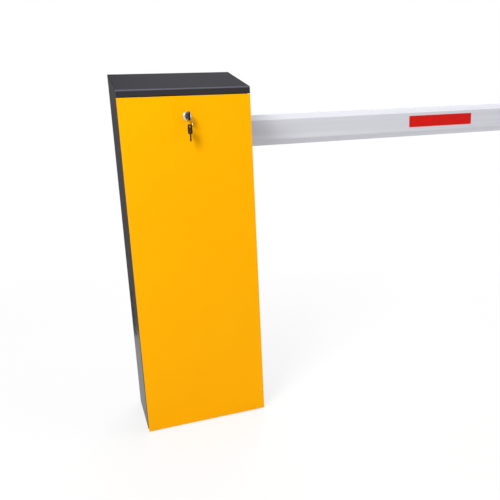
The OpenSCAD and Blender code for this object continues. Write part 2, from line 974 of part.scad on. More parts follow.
module reflective_strips() {
    color("#dc2016")
        for (i = [0 : strip_count - 1], y = [boom_y - strip_t, boom_y + boom_w])
            translate([strip_first_x + i * strip_pitch - strip_len / 2, y,
                       boom_z + strip_dz - strip_h / 2])
                cube([strip_len, strip_t, strip_h]);
}

// Linkage between the gearbox and the main shaft

rod_d = 14;
eye_rim = 10;
eye_d = pin_d + 2 * eye_rim;
shank_len = 62;
rod_in = 30;
rod_low = crank_z - arm_dz;
rod_high = boom_z - arm_dz;

module drive_rod() {
    color("silver")
        translate([arm_x, rod_axis_y, rod_low + shank_len - rod_in])
            cylinder(d = rod_d, h = rod_len - 2 * (shank_len - rod_in));
}

// Eye with a shank that points up or down
module rod_end(z, up, bore) {
    difference() {
        union() {
            y_rod(arm_x, rod_y, z, eye_d, rod_end_t);
            translate([arm_x, rod_axis_y, up > 0 ? z : z - shank_len])
                cylinder(d = shank_d, h = shank_len);
        }
        y_rod(arm_x, rod_y - eye_d, z, bore, 3 * eye_d);
        for (y = [rod_y - eye_d, rod_y + rod_end_t])
            block([arm_x - eye_d, y, z - eye_d / 2], [arm_x + eye_d, y + eye_d, z + eye_d / 2]);
        translate([arm_x, rod_axis_y, up > 0 ? z + shank_len - rod_in - eps : z - shank_len - eps])
            cylinder(d = rod_d + 2 * fit_gap, h = rod_in + 2 * eps);
    }
}

module rod_ends() {
    color("#8a8d92") {
        rod_end(rod_low, 1, pin_d + 2 * open_gap);
        rod_end(rod_high, -1, pin_d + 2 * fit_gap);
    }
}

module rod_locknuts() {
    nut_t = 8;
    color("silver")
        for (z = [rod_low + shank_len, rod_high - shank_len - nut_t])
            translate([arm_x, rod_axis_y, z])
                difference() {
                    cylinder(d = shank_d / cos(30), h = nut_t, $fn = 6);
                    translate([0, 0, -eps])
                        cylinder(d = rod_d + 2 * fit_gap, h = nut_t + 2 * eps);
                }
}

// Gearbox, crank and motor

motor_x = 34;
motor_y = plate_back + gear_depth / 2;
flange_t = 13;
motor_top = crank_z - gear_h - flange_t;
motor_bottom = motor_top - motor_len;
target_t = 6;
target_gap = 4;
target_y = arm_y - target_gap - target_t;
shaft_tip = target_y - shaft_out;
crank_hub_d = out_shaft_d + 27;
out_shaft_in = gear_depth - 22;
fan_h = 26;

module gearbox() {
    cap_d = 78;
    cap_t = 4;
    foot = 4;
    foot_t = 14;
    color("#6f747b")
        difference() {
            union() {
                block([-gear_w, plate_back, crank_z - gear_h],
                      [gear_w, plate_back + foot_t, crank_z + gear_h]);
                block([-gear_w + foot, plate_back, crank_z - gear_h],
                      [gear_w - foot, plate_back + gear_depth - cap_t, crank_z + gear_h - foot]);
                y_rod(0, plate_back + gear_depth - cap_t - eps, crank_z, cap_d, cap_t + eps);
            }
            y_rod(0, plate_back - eps, crank_z, out_shaft_d + 2 * fit_gap,
                  out_shaft_in + tap_room + eps);
            for (p = gear_bolts_at)
                y_rod(p[0], plate_back - eps, p[1], bolt_d + hole_gap, housing_flange_t + tap_room + eps);
        }
}

module output_shaft() {
    color("lightgray")
        y_rod(0, shaft_tip, crank_z, out_shaft_d, plate_back + out_shaft_in - shaft_tip);
}

module crank_arm() {
    color("#5a6068")
        difference() {
            translate([0, 0, crank_z])
                y_raise(arm_y, arm_t)
                    rotate(-45)
                        arm_outline(crank_hub_d);
            y_rod(0, arm_y - eps, crank_z, out_shaft_d + 2 * fit_gap, arm_t + 2 * eps);
            y_rod(arm_x, arm_y - eps, rod_low, pin_d + 2 * fit_gap, arm_t + 2 * eps);
        }
}

module crank_pin() {
    color("silver")
        union() {
            link_pin(arm_x, rod_low);
            pin_collar(arm_x, rod_low);
        }
}

flag_r = 35;

module sensor_target() {
    disc_rim = 9;
    disc_d = out_shaft_d + 2 * disc_rim;
    flag_w = 12;
    color("silver")
        difference() {
            union() {
                y_rod(0, target_y, crank_z, disc_d, target_t);
                block([-flag_w / 2, target_y, crank_z - flag_r],
                      [flag_w / 2, target_y + target_t, crank_z]);
                block([0, target_y, crank_z - flag_w / 2],
                      [flag_r, target_y + target_t, crank_z + flag_w / 2]);
            }
            y_rod(0, target_y - eps, crank_z, out_shaft_d + 2 * fit_gap, target_t + 2 * eps);
        }
}

sensor_d = 12;
sensor_len = 50;
sensor_y = target_y + target_t / 2;
sensor_gap = 2;
sensor_nose = 17;
sensor_shelf = flag_r + sensor_nose;
sensor_shelf_t = 5;
sensor_shelf_w = 30;

// Shape for the lower sensor and its copy above the crank's shaft
module above_and_below() {
    translate([0, 0, crank_z])
        for (up = [0, 1])
            mirror([0, 0, up])
                children();
}

module sensors() {
    nut_t = 4;
    nut_rim = 3;
    color("#d8a020")
        above_and_below() {
            translate([0, sensor_y, -flag_r - sensor_gap - sensor_len])
                cylinder(d = sensor_d, h = sensor_len);
            for (z = [-sensor_shelf - sensor_shelf_t - nut_t, -sensor_shelf])
                translate([0, sensor_y, z])
                    cylinder(d = sensor_d + 2 * nut_rim, h = nut_t, $fn = 6);
        }
}

module sensor_brackets() {
    leg = 20;
    leg_thick = 4;
    color("silver")
        above_and_below()
            difference() {
                union() {
                    block([-sensor_shelf_w / 2, sensor_y - sensor_d, -sensor_shelf - sensor_shelf_t],
                          [sensor_shelf_w / 2, plate_y, -sensor_shelf]);
                    block([-sensor_shelf_w / 2, plate_y - leg_thick, -sensor_shelf - sensor_shelf_t],
                          [sensor_shelf_w / 2, plate_y, -sensor_shelf + leg]);
                }
                translate([0, sensor_y, -sensor_shelf - sensor_shelf_t - eps])
                    cylinder(d = sensor_d + 2 * fit_gap, h = sensor_shelf_t + 2 * eps);
            }
}

pad_rise = 90;
pad_z = motor_bottom + pad_rise;
pad_h = 70;
pad_w = 44;
flange_rim = 2;
pad_x = motor_x - motor_d / 2 - flange_rim;

module motor() {
    fins = 24;
    fin_t = 3;
    fin_h = 7;
    core_d = motor_d - 2 * fin_h;
    fin_root = 2;
    fin_end = 10;
    half = motor_d / 2 + flange_rim;
    color("#4d6f8f") {
        translate([motor_x, motor_y, motor_bottom]) {
            cylinder(d = core_d, h = motor_len);
            for (i = [0 : fins - 1])
                rotate(i * 360 / fins)
                    translate([core_d / 2 - fin_root, -fin_t / 2, fin_end])
                        cube([fin_h + fin_root, fin_t, motor_len - 2 * fin_end]);
            translate([-half, -half, motor_len])
                cube([2 * half, 2 * half, flange_t]);
        }
        block([pad_x, motor_y - pad_w / 2, pad_z], [motor_x, motor_y + pad_w / 2, pad_z + pad_h]);
    }
}

module motor_terminal_box() {
    depth = 30;
    cap_t = 3;
    rim = 2;
    color("#2c2e33") {
        block([pad_x - depth, motor_y - pad_w / 2, pad_z], [pad_x, motor_y + pad_w / 2, pad_z + pad_h]);
        block([pad_x - depth - cap_t, motor_y - pad_w / 2 - rim, pad_z - rim],
              [pad_x - depth, motor_y + pad_w / 2 + rim, pad_z + pad_h + rim]);
    }
}

module fan_cover() {
    wall = 2;
    slots = 10;
    slot_from = 16;
    slot_len = 30;
    slot_w = 5;
    color("#2c2e33")
        translate([motor_x, motor_y, motor_bottom - fan_h])
            difference() {
                cylinder(d = motor_d, h = fan_h);
                translate([0, 0, wall])
                    cylinder(d = motor_d - 2 * wall, h = fan_h - 2 * wall);
                for (i = [0 : slots - 1])
                    rotate(i * 360 / slots)
                        translate([slot_from, -slot_w / 2, -eps])
                            cube([slot_len, slot_w, wall + 2 * eps]);
            }
}

// Stops that the lever meets at both ends of its travel

buffer_d = 24;
buffer_at = 50;
buffer_gap = 0.3;
buffer_off = arm_w / 2 + buffer_d / 2 + buffer_gap;
buffer_x = (buffer_at - buffer_off) * cos(45);
buffer_dz = (buffer_at + buffer_off) * cos(45);
stud_d = 10;
stud_rim = 4;
stud_head_t = 4;

module stop_buffers() {
    color("black")
        for (sz = [-1, 1])
            difference() {
                y_rod(buffer_x, arm_y, boom_z + sz * buffer_dz, buffer_d, plate_y - arm_y);
                y_rod(buffer_x, arm_y - eps, boom_z + sz * buffer_dz, stud_d + 2 * fit_gap,
                      plate_y - arm_y + 2 * eps);
            }
}

module buffer_studs() {
    color("silver")
        for (sz = [-1, 1]) {
            y_rod(buffer_x, arm_y - eps, boom_z + sz * buffer_dz, stud_d, plate_y - arm_y + eps);
            y_rod(buffer_x, arm_y - stud_head_t, boom_z + sz * buffer_dz, stud_d + 2 * stud_rim,
                  stud_head_t);
        }
}

// Balance spring, its link and its adjuster

spring_seat = 0.05;
spring_lead = spring_wire_d;
spring_rise = 14;
rings_per_turn = 8;
wire_sides = 6;
coil_len = spring_len - 2 * spring_seat - 2 * spring_lead - 2 * spring_rise;

// Points of the wire: straight end, half turn outwards, coil, half turn inwards, straight end
function wire_place(angle, r, z) = [r * cos(angle), r * sin(angle), z];
function ease(u) = (1 - cos(180 * u)) / 2;
half_rings = rings_per_turn;
coil_rings = spring_turns * rings_per_turn;
coil_start = spring_lead + spring_rise;
wire_angles = concat(
    [0],
    [for (i = [0 : half_rings - 1]) 180 * i / half_rings],
    [for (i = [0 : coil_rings]) 180 + 360 * i / rings_per_turn],
    [for (i = [1 : half_rings]) 180 + 360 * spring_turns + 180 * i / half_rings],
    [360 * (spring_turns + 1)]
);
wire_points = concat(
    [[0, 0, 0]],
    [for (i = [0 : half_rings - 1])
        let (u = i / half_rings)
        wire_place(180 * u, spring_r * ease(u), spring_lead + spring_rise * u)],
    [for (i = [0 : coil_rings])
        wire_place(180 + 360 * i / rings_per_turn, spring_r,
                   coil_start + coil_len * i / coil_rings)],
    [for (i = [1 : half_rings])
        let (u = i / half_rings)
        wire_place(180 + 360 * spring_turns + 180 * u, spring_r * (1 - ease(u)),
                   coil_start + coil_len + spring_rise * u)],
    [[0, 0, 2 * coil_start + coil_len]]
);
wire_count = len(wire_points);

function unit(v) = v / norm(v);
function wire_dir(i) =
    i < 2 || i > wire_count - 3
        ? [0, 0, 1]
        : unit(wire_points[i + 1] - wire_points[i - 1]);
function wire_side(i) =
    let (out = [cos(wire_angles[i]), sin(wire_angles[i]), 0], dir = wire_dir(i))
    unit(out - (out * dir) * dir);

wire_skin = [
    for (i = [0 : wire_count - 1])
        let (side = wire_side(i), other = cross(wire_dir(i), side))
        for (k = [0 : wire_sides - 1])
            wire_points[i] + spring_wire_d / 2
                * (cos(360 * k / wire_sides) * side + sin(360 * k / wire_sides) * other)
];
wire_faces = concat(
    [for (i = [0 : wire_count - 2], k = [0 : wire_sides - 1])
        let (a = i * wire_sides + k, b = i * wire_sides + (k + 1) % wire_sides)
        [a, a + wire_sides, b]],
    [for (i = [0 : wire_count - 2], k = [0 : wire_sides - 1])
        let (a = i * wire_sides + k, b = i * wire_sides + (k + 1) % wire_sides)
        [b, a + wire_sides, b + wire_sides]],
    [for (k = [1 : wire_sides - 2]) [0, k, k + 1]],
    [for (k = [1 : wire_sides - 2])
        let (last = (wire_count - 1) * wire_sides)
        [last, last + k + 1, last + k]]
);

// Least gap between parts of the wire that lie at least half a turn apart
wire_gap = min([
    for (i = [0 : wire_count - 1], j = [i + rings_per_turn / 2 : 1 : wire_count - 1])
        if (j - i <= 2 * rings_per_turn)
            norm(wire_points[i] - wire_points[j])
]) - spring_wire_d;
echo(least_spring_gap = wire_gap);

module balance_spring() {
    color("#3a3f46")
        translate([spring_x, spring_y, spring_bottom + spring_seat])
            polyhedron(wire_skin, wire_faces);
}

socket_d = 18;
socket_h = 20;

module spring_link() {
    link_w = 22;
    rim = 8;
    eye = pin_d + 2 * rim;
    link_top = boom_z + arm_dz;
    color("#8a8d92")
        difference() {
            union() {
                y_rod(spring_x, spring_y - link_t / 2, link_top, eye, link_t);
                block([spring_x - link_w / 2, spring_y - link_t / 2, spring_top + socket_h / 2],
                      [spring_x + link_w / 2, spring_y + link_t / 2, link_top]);
                translate([spring_x, spring_y, spring_top])
                    cylinder(d = socket_d, h = socket_h);
            }
            y_rod(spring_x, spring_y - link_t, link_top, pin_d + 2 * fit_gap, 2 * link_t);
        }
}

adjuster_d = 12;
adjuster_tail = 32;

module spring_adjuster() {
    color("silver")
        translate([spring_x, spring_y, 0]) {
            translate([0, 0, spring_bottom - socket_h])
                cylinder(d = socket_d, h = socket_h);
            translate([0, 0, shelf_z - adjuster_tail])
                cylinder(d = adjuster_d, h = spring_bottom - socket_h - shelf_z + adjuster_tail + eps);
        }
}

module adjuster_nuts() {
    nut_t = 10;
    flats = 18;
    color("silver")
        for (z = [shelf_z - nut_t, shelf_z + shelf_t])
            translate([spring_x, spring_y, z])
                difference() {
                    cylinder(d = flats / cos(30), h = nut_t, $fn = 6);
                    translate([0, 0, -eps])
                        cylinder(d = adjuster_d + 2 * fit_gap, h = nut_t + 2 * eps);
                }
}

module spring_bracket() {
    width = 56;
    reach = 16;
    color("#8a8d92")
        difference() {
            union() {
                block([spring_x - width / 2, spring_y - reach, shelf_z],
                      [spring_x + width / 2, plate_y, shelf_z + shelf_t]);
                block([spring_x - width / 2, plate_y - leg_t, shelf_z],
                      [spring_x + width / 2, plate_y, shelf_z + leg_h]);
            }
            translate([spring_x, spring_y, shelf_z - eps])
                cylinder(d = adjuster_d + hole_gap, h = shelf_t + 2 * eps);
            for (p = bracket_bolts_at)
                y_rod(p[0], plate_y - leg_t - eps, p[1], bolt_d + hole_gap, leg_t + 2 * eps);
        }
}

// Control electronics low in the cabinet

panel_foot = 30;
panel_z = base_t + panel_foot;
fan_gap = 4;
panel_h = motor_bottom - fan_h - fan_gap - panel_z;
panel_t = 3;
box_side = 30;
box_x = -in_w + box_side;
box_w = 215;
box_below = 14;
box_above = 11;
box_z = panel_z + box_below;
box_h = panel_h - box_below - box_above;
box_d = 40;
box_wall = 2.5;
lid_t = 4;
board_gap = 8;
board_t = 2;
stand_off = 8;

module electrics_plate() {
    color("lightsteelblue") {
        block([-in_w, plate_y, panel_z], [in_w, plate_y + panel_t, panel_z + panel_h]);
        for (side = [0, 1])
            mirror([side, 0, 0])
                block([in_w - panel_t, plate_y, panel_z],
                      [in_w, plate_y + flange_depth, panel_z + panel_h]);
    }
}

board_x = box_x + box_wall + board_gap;
board_w = box_w - 2 * (box_wall + board_gap);
board_z = box_z + box_wall + board_gap;
board_h = box_h - 2 * (box_wall + board_gap);
board_y = plate_y - box_wall - stand_off - board_t;

module control_box() {
    gland_d = 20;
    glands = 4;
    post_d = 7;
    post_edge = 6;
    color("#c9ccd0")
        difference() {
            union() {
                difference() {
                    block([box_x, plate_y - box_d, box_z], [box_x + box_w, plate_y, box_z + box_h]);
                    block([box_x + box_wall, plate_y - box_d - eps, box_z + box_wall],
                          [box_x + box_w - box_wall, plate_y - box_wall, box_z + box_h - box_wall]);
                }
                for (x = [board_x + post_edge, board_x + board_w - post_edge],
                     z = [board_z + post_edge, board_z + board_h - post_edge])
                    y_rod(x, plate_y - box_wall - stand_off, z, post_d, stand_off + eps);
            }
            for (i = [1 : glands])
                translate([box_x + i * box_w / (glands + 1), plate_y - box_d / 2, box_z - eps])
                    cylinder(d = gland_d, h = box_wall + 2 * eps);
        }
}

module control_lid() {
    rim = 1;
    color("#dfe2e6")
        block([box_x - rim, plate_y - box_d - lid_t, box_z - rim],
              [box_x + box_w + rim, plate_y - box_d, box_z + box_h + rim]);
}

module circuit_board() {
    relays = 4;
    relay = [16, 14, 20];
    relay_pitch = 22;
    relay_x = 66;
    terminals = 10;
    terminal = [12, 12, 14];
    terminal_pitch = 15;
    terminal_x = 22;
    edge = 4;
    coil_w = 44;
    coil_d = 22;
    coil_x = 10;
    coil_h = 0.38 * board_h;
    coil_z = board_z + 0.34 * board_h;
    relay_z = board_z + 0.44 * board_h;
    color("#1f6b3a") {
        block([board_x, board_y, board_z], [board_x + board_w, board_y + board_t, board_z + board_h]);
        for (i = [0 : relays - 1])
            translate([board_x + relay_x + i * relay_pitch, board_y - relay[1], relay_z])
                cube(relay);
        for (i = [0 : terminals - 1])
            translate([board_x + terminal_x + i * terminal_pitch, board_y - terminal[1], board_z + edge])
                cube(terminal);
        translate([board_x + coil_x, board_y - coil_d, coil_z])
            cube([coil_w, coil_d, coil_h]);
    }
}

base_plate();
side_panel_left();
side_panel_right();
back_panel();
top_cover();
roof_screws();
door_seals();
hinge_brackets();
hinge_pins();
cable_grommet();
front_cover();
lock_body();
lock_nut();
lock_plug();
lock_cam();
cam_screw();
key();
key_ring();
spare_key();
mechanism_plate();
mechanism_bolts();
shaft_housing();
shaft_bearings();
shaft_seal();
main_shaft();
shaft_keys();
shaft_lever();
lever_pins();
lever_bolt();
boom_holder();
boom_clamp_plate();
clamp_bolts();
clamp_nuts();
boom();
boom_caps();
reflective_strips();
drive_rod();
rod_ends();
rod_locknuts();
gearbox();
output_shaft();
crank_arm();
crank_pin();
sensor_target();
sensors();
sensor_brackets();
motor();
fan_cover();
motor_terminal_box();
stop_buffers();
buffer_studs();
balance_spring();
spring_link();
spring_adjuster();
adjuster_nuts();
spring_bracket();
electrics_plate();
control_box();
control_lid();
circuit_board();
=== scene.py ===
# %% [markdown]
# # An automatic boom barrier
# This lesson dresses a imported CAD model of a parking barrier: a floor cabinet with a yellow front
# cover, a dark body and roof, a lock with its keys, and an aluminium boom on a shaft behind it.
# The CAD solids are the fixed frame. Each cell takes one piece or one finish of the real object,
# says what it is, and makes it in the place that the frame gives.

# %% Load the frame
import json
import math

import bmesh
import bpy
from mathutils import Matrix, Vector


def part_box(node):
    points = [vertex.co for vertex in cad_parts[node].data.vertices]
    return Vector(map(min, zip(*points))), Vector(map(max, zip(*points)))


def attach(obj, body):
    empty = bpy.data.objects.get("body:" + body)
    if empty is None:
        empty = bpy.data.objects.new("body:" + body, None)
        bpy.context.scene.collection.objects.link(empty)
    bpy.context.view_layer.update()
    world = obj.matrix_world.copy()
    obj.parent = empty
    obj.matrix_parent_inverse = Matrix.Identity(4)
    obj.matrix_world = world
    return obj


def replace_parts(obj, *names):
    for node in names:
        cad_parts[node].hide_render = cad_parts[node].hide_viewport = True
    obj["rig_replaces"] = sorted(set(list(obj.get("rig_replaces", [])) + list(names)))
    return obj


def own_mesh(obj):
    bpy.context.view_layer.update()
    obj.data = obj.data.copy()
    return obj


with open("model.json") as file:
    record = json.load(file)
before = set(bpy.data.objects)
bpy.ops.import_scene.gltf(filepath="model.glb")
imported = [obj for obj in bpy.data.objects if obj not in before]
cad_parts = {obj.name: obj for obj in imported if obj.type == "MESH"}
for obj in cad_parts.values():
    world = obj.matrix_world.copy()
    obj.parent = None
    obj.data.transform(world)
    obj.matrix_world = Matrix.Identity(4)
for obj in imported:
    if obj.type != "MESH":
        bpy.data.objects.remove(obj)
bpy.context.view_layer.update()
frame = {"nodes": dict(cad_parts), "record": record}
record = frame["record"]
node_slot = {part["node"]: part["material_slot"] for part in record["subparts"]}
node_body = {node: body for body, nodes in record["behaviour"]["bodies"].items() for node in nodes}

# %% [markdown]
# ## Camera
# The photograph was taken from in front, a little to the left and above the boom's height. The camera's
# place and axes come from the cabinet's corners, so the render can be laid over the photograph.
# A camera in Blender looks along its own -Z with +Y up, so the matrix holds right, up and back.

# %% Camera at the photograph's angle
CAMERA_PLACE = Vector((-0.3020, -1.5370, 0.8606))
CAMERA_LOOK = Vector((0.2938, 0.9272, -0.2322))
CAMERA_RIGHT = Vector((0.9488, -0.3124, -0.0472))
FOCAL_PIXELS = 547.3
IMAGE_PIXELS = 500
SENSOR_MM = 36.0


def make_camera():
    back = -CAMERA_LOOK.normalized()
    right = (CAMERA_RIGHT - CAMERA_RIGHT.dot(back) * back).normalized()
    up = back.cross(right)
    data = bpy.data.cameras.new("photo_camera")
    data.sensor_width = SENSOR_MM
    data.lens = FOCAL_PIXELS / IMAGE_PIXELS * SENSOR_MM
    data.clip_end = 60.0
    camera = bpy.data.objects.new("photo_camera", data)
    turn = Matrix((right, up, back)).transposed()
    camera.matrix_world = Matrix.Translation(CAMERA_PLACE) @ turn.to_4x4()
    bpy.context.scene.collection.objects.link(camera)
    bpy.context.scene.camera = camera
    return camera


camera = make_camera()
print("camera: lens", round(camera.data.lens, 2), "mm")

# %% [markdown]
# ## Floor, backdrop and lamps
# The photograph has a white ground. A floor painted white and lit would need too much light, so the
# floor mixes a diffuse white, which keeps the shadow, with a plain white that only the camera and
# mirror rays see. The mix grows with distance, so the floor has no edge against the white world.

# %% White floor and world
FLOOR_HALF = 14.0
FLOOR_GREY = (0.9, 0.9, 0.9, 1.0)
WHITE = (1.0, 1.0, 1.0, 1.0)
SHADOW_CORE = 0.2
SHADOW_REACH = 2.2
CORE_WHITE = 0.72
scene = bpy.context.scene
scene.view_settings.view_transform = "Standard"


def seen_directly(tree):
    """One for rays from the camera, a mirror or glass, and nothing for the light that scatters."""
    path = tree.nodes.new("ShaderNodeLightPath")
    seen = path.outputs["Is Camera Ray"]
    for kind in ("Is Glossy Ray", "Is Transmission Ray"):
        either = tree.nodes.new("ShaderNodeMath")
        either.operation = "MAXIMUM"
        tree.links.new(seen, either.inputs[0])
        tree.links.new(path.outputs[kind], either.inputs[1])
        seen = either.outputs[0]
    return seen


def map_range(tree, value, from_min, from_max, to_min, to_max):
    spread = tree.nodes.new("ShaderNodeMapRange")
    for name, end in (("From Min", from_min), ("From Max", from_max), ("To Min", to_min), ("To Max", to_max)):
        spread.inputs[name].default_value = end
    tree.links.new(value, spread.inputs["Value"])
    return spread.outputs["Result"]


def stage_sheet(name, corners):
    mesh = bpy.data.meshes.new(name)
    mesh.from_pydata(corners, [], [(0, 1, 2, 3)])
    sheet = bpy.data.objects.new(name, mesh)
    scene.collection.objects.link(sheet)
    return sheet


def mixed(tree, share, first, second, out):
    mix = tree.nodes.new("ShaderNodeMixShader")
    for socket, source in zip(mix.inputs, (share, first, second)):
        tree.links.new(source, socket)
    tree.links.new(mix.outputs[0], out.inputs["Surface"])


def make_world(ambient):
    world = bpy.data.worlds.new("white_studio")
    scene.world = world
    world.use_nodes = True
    tree = world.node_tree
    tree.nodes.clear()
    out = tree.nodes.new("ShaderNodeOutputWorld")
    seen = tree.nodes.new("ShaderNodeBackground")
    soft = tree.nodes.new("ShaderNodeBackground")
    seen.inputs["Color"].default_value = WHITE
    soft.inputs["Color"].default_value = WHITE
    soft.inputs["Strength"].default_value = ambient
    mixed(tree, seen_directly(tree), soft.outputs[0], seen.outputs[0], out)


def make_floor():
    half = FLOOR_HALF
    corners = [(-half, -half, 0), (half, -half, 0), (half, half, 0), (-half, half, 0)]
    floor = stage_sheet("studio_floor", corners)
    mat = bpy.data.materials.new("studio_white")
    mat.use_nodes = True
    tree = mat.node_tree
    tree.nodes.clear()
    out = tree.nodes.new("ShaderNodeOutputMaterial")
    matt = tree.nodes.new("ShaderNodeBsdfDiffuse")
    matt.inputs["Color"].default_value = FLOOR_GREY
    plain = tree.nodes.new("ShaderNodeEmission")
    plain.inputs["Color"].default_value = WHITE
    coords = tree.nodes.new("ShaderNodeTexCoord")
    length = tree.nodes.new("ShaderNodeVectorMath")
    length.operation = "LENGTH"
    tree.links.new(coords.outputs["Object"], length.inputs[0])
    fade = map_range(tree, length.outputs["Value"], SHADOW_CORE, SHADOW_REACH, CORE_WHITE, 1.0)
    share = tree.nodes.new("ShaderNodeMath")
    share.operation = "MULTIPLY"
    tree.links.new(seen_directly(tree), share.inputs[0])
    tree.links.new(fade, share.inputs[1])
    mixed(tree, share.outputs[0], matt.outputs[0], plain.outputs[0], out)
    floor.data.materials.append(mat)


make_world(ambient=0.42)
make_floor()
print("stage: white floor", 2 * FLOOR_HALF, "m wide")

# %% [markdown]
# Three wide area lamps stand for soft boxes: the main one at the upper left in front, as the shadows
# of the keys in the photograph say, a weaker one over the boom, which makes its upper bevel the
# brightest, and one behind for the back.

# %% Soft boxes
AIM = Vector((0.1, 0.0, 0.55))


def soft_box(name, place, size, watts):
    data = bpy.data.lights.new(name, "AREA")
    data.shape = "SQUARE"
    data.size = size
    data.energy = watts
    lamp = bpy.data.objects.new(name, data)
    lamp.location = place
    lamp.rotation_euler = (AIM - Vector(place)).to_track_quat("-Z", "Y").to_euler()
    scene.collection.objects.link(lamp)


soft_box("main_soft_box", (-1.15, -1.45, 2.1), size=0.8, watts=42.0)
soft_box("top_soft_box", (1.8, -0.5, 2.6), size=2.0, watts=18.0)
soft_box("rear_soft_box", (1.2, 2.6, 2.6), size=2.4, watts=60.0)

# %% [markdown]
# The cabinet's left side is seen at a very flat angle and mirrors what stands behind it: pale floor in
# its lower third, and something dark above. A black card, as photographers use it, gives that
# reflection. Only mirror rays see the card, so it throws no shadow and no camera meets it.

# %% Black card behind the cabinet
CARD_Y = 0.5
CARD_LEFT, CARD_RIGHT = -0.9, -0.1
CARD_BOTTOM, CARD_TOP = 0.07, 1.4
CLOTH = (0.10, 0.097, 0.095, 1.0)


def black_card():
    card = stage_sheet("black_card", [
        (CARD_LEFT, CARD_Y, CARD_BOTTOM), (CARD_RIGHT, CARD_Y, CARD_BOTTOM),
        (CARD_RIGHT, CARD_Y, CARD_TOP), (CARD_LEFT, CARD_Y, CARD_TOP)])
    mat = bpy.data.materials.new("black_cloth")
    mat.use_nodes = True
    cloth = mat.node_tree.nodes["Principled BSDF"]
    cloth.inputs["Base Color"].default_value = CLOTH
    cloth.inputs["Roughness"].default_value = 1.0
    cloth.inputs["Specular IOR Level"].default_value = 0.0
    card.data.materials.append(mat)
    card.visible_camera = False
    card.visible_diffuse = False
    card.visible_shadow = False
    card.visible_transmission = False


black_card()
print("black card at", CARD_Y, "m")

# %% [markdown]
# ## Finishes
# Every finish is a small node tree on Object coordinates, so that it stays on the piece when the piece
# moves and keeps its scale in metres. Short helpers do what they share: a shader, a maths step, a noise
# that can be stretched into grain, a value or a colour that follows it, and a relief that bends the
# normal.

# %% Helpers for finishes
NOISE_LOW, NOISE_HIGH = 0.3, 0.7


def shader(name):
    mat = bpy.data.materials.new(name)
    mat.use_nodes = True
    return mat, mat.node_tree, mat.node_tree.nodes["Principled BSDF"]


def step(tree, kind, operation, first, second=None):
    """A maths node; its second input is another node's output, a fixed value or nothing."""
    node = tree.nodes.new("ShaderNode" + kind)
    node.operation = operation
    tree.links.new(first, node.inputs[0])
    if isinstance(second, bpy.types.NodeSocket):
        tree.links.new(second, node.inputs[1])
    elif second is not None:
        node.inputs[1].default_value = second
    return node


def grain(tree, scale, detail, stretch=(1.0, 1.0, 1.0)):
    coords = tree.nodes.new("ShaderNodeTexCoord")
    mapping = tree.nodes.new("ShaderNodeMapping")
    mapping.inputs["Scale"].default_value = stretch
    noise = tree.nodes.new("ShaderNodeTexNoise")
    noise.inputs["Scale"].default_value = scale
    noise.inputs["Detail"].default_value = detail
    tree.links.new(coords.outputs["Object"], mapping.inputs["Vector"])
    tree.links.new(mapping.outputs["Vector"], noise.inputs["Vector"])
    return noise.outputs["Fac"]


def between(tree, value, low, high):
    return map_range(tree, value, NOISE_LOW, NOISE_HIGH, low, high)


def two_tone(tree, value, dark, light, start=NOISE_LOW, end=NOISE_HIGH):
    ramp = tree.nodes.new("ShaderNodeValToRGB")
    for element, place_at, tone in zip(ramp.color_ramp.elements, (start, end), (dark, light)):
        element.position = place_at
        element.color = (*tone, 1.0)
    tree.links.new(value, ramp.inputs["Fac"])
    return ramp.outputs["Color"]


def relief(tree, bsdf, height, depth, strength):
    bump = tree.nodes.new("ShaderNodeBump")
    bump.inputs["Distance"].default_value = depth
    bump.inputs["Strength"].default_value = strength
    tree.links.new(height, bump.inputs["Height"])
    tree.links.new(bump.outputs["Normal"], bsdf.inputs["Normal"])


finishes = {}


def finish(slot, mat, colour, rough, height, depth, strength):
    """Links a finish's colour, roughness and relief to its shader and files it under its slot."""
    tree = mat.node_tree
    bsdf = tree.nodes["Principled BSDF"]
    tree.links.new(colour, bsdf.inputs["Base Color"])
    tree.links.new(rough, bsdf.inputs["Roughness"])
    relief(tree, bsdf, height, depth, strength)
    finishes[slot] = mat


# %% [markdown]
# ### Powder coat
# The cover, body and roof are sheet steel with baked powder paint. Powder melts into a skin with a
# fine orange peel, so the shine breaks up a little. A slow noise lets the colour drift, a fine one
# gives the peel, and both the relief and the gloss follow the fine one.

# %% Yellow and anthracite powder coat
PEEL_SCALE = 420.0
DRIFT_SCALE = 2.2


def powder_coat(slot, dark, light, gloss, shine, peel_depth):
    mat, tree, bsdf = shader(slot)
    bsdf.inputs["Specular IOR Level"].default_value = shine
    drift = grain(tree, DRIFT_SCALE, 3.0)
    peel = grain(tree, PEEL_SCALE, 1.5)
    rough = between(tree, peel, gloss - 0.04, gloss + 0.05)
    finish(slot, mat, two_tone(tree, drift, dark, light), rough, peel, peel_depth, 0.5)
    return tree, bsdf


powder_coat("yellow_paint", (0.93, 0.405, 0.0), (0.95, 0.425, 0.0), 0.42, 0.04, 0.00006)
powder_coat("body_paint", (0.056, 0.053, 0.056), (0.064, 0.060, 0.063), 0.38, 0.20, 0.00003)
roof_tree, roof_bsdf = powder_coat(
    "roof_paint", (0.030, 0.0285, 0.034), (0.034, 0.0325, 0.039), 0.62, 0.004, 0.00005)
print("powder coats:", sorted(finishes))

# %% [markdown]
# The roof's front bend catches a fine line of highlight, and here that highlight is painted: a pale colour
# is mixed into the paint along the bend. The distance from the bend's line, taken across the roof, gives the
# mask.

# %% Painted highlight along the roof's bend
BEND_Y, BEND_Z = -0.0985, 0.9450
BEND_HIGHLIGHT_WIDTH = 0.0035
# Colour of the painted highlight on the bend.
BEND_HIGHLIGHT_PAINT = (0.14, 0.135, 0.17, 1.0)


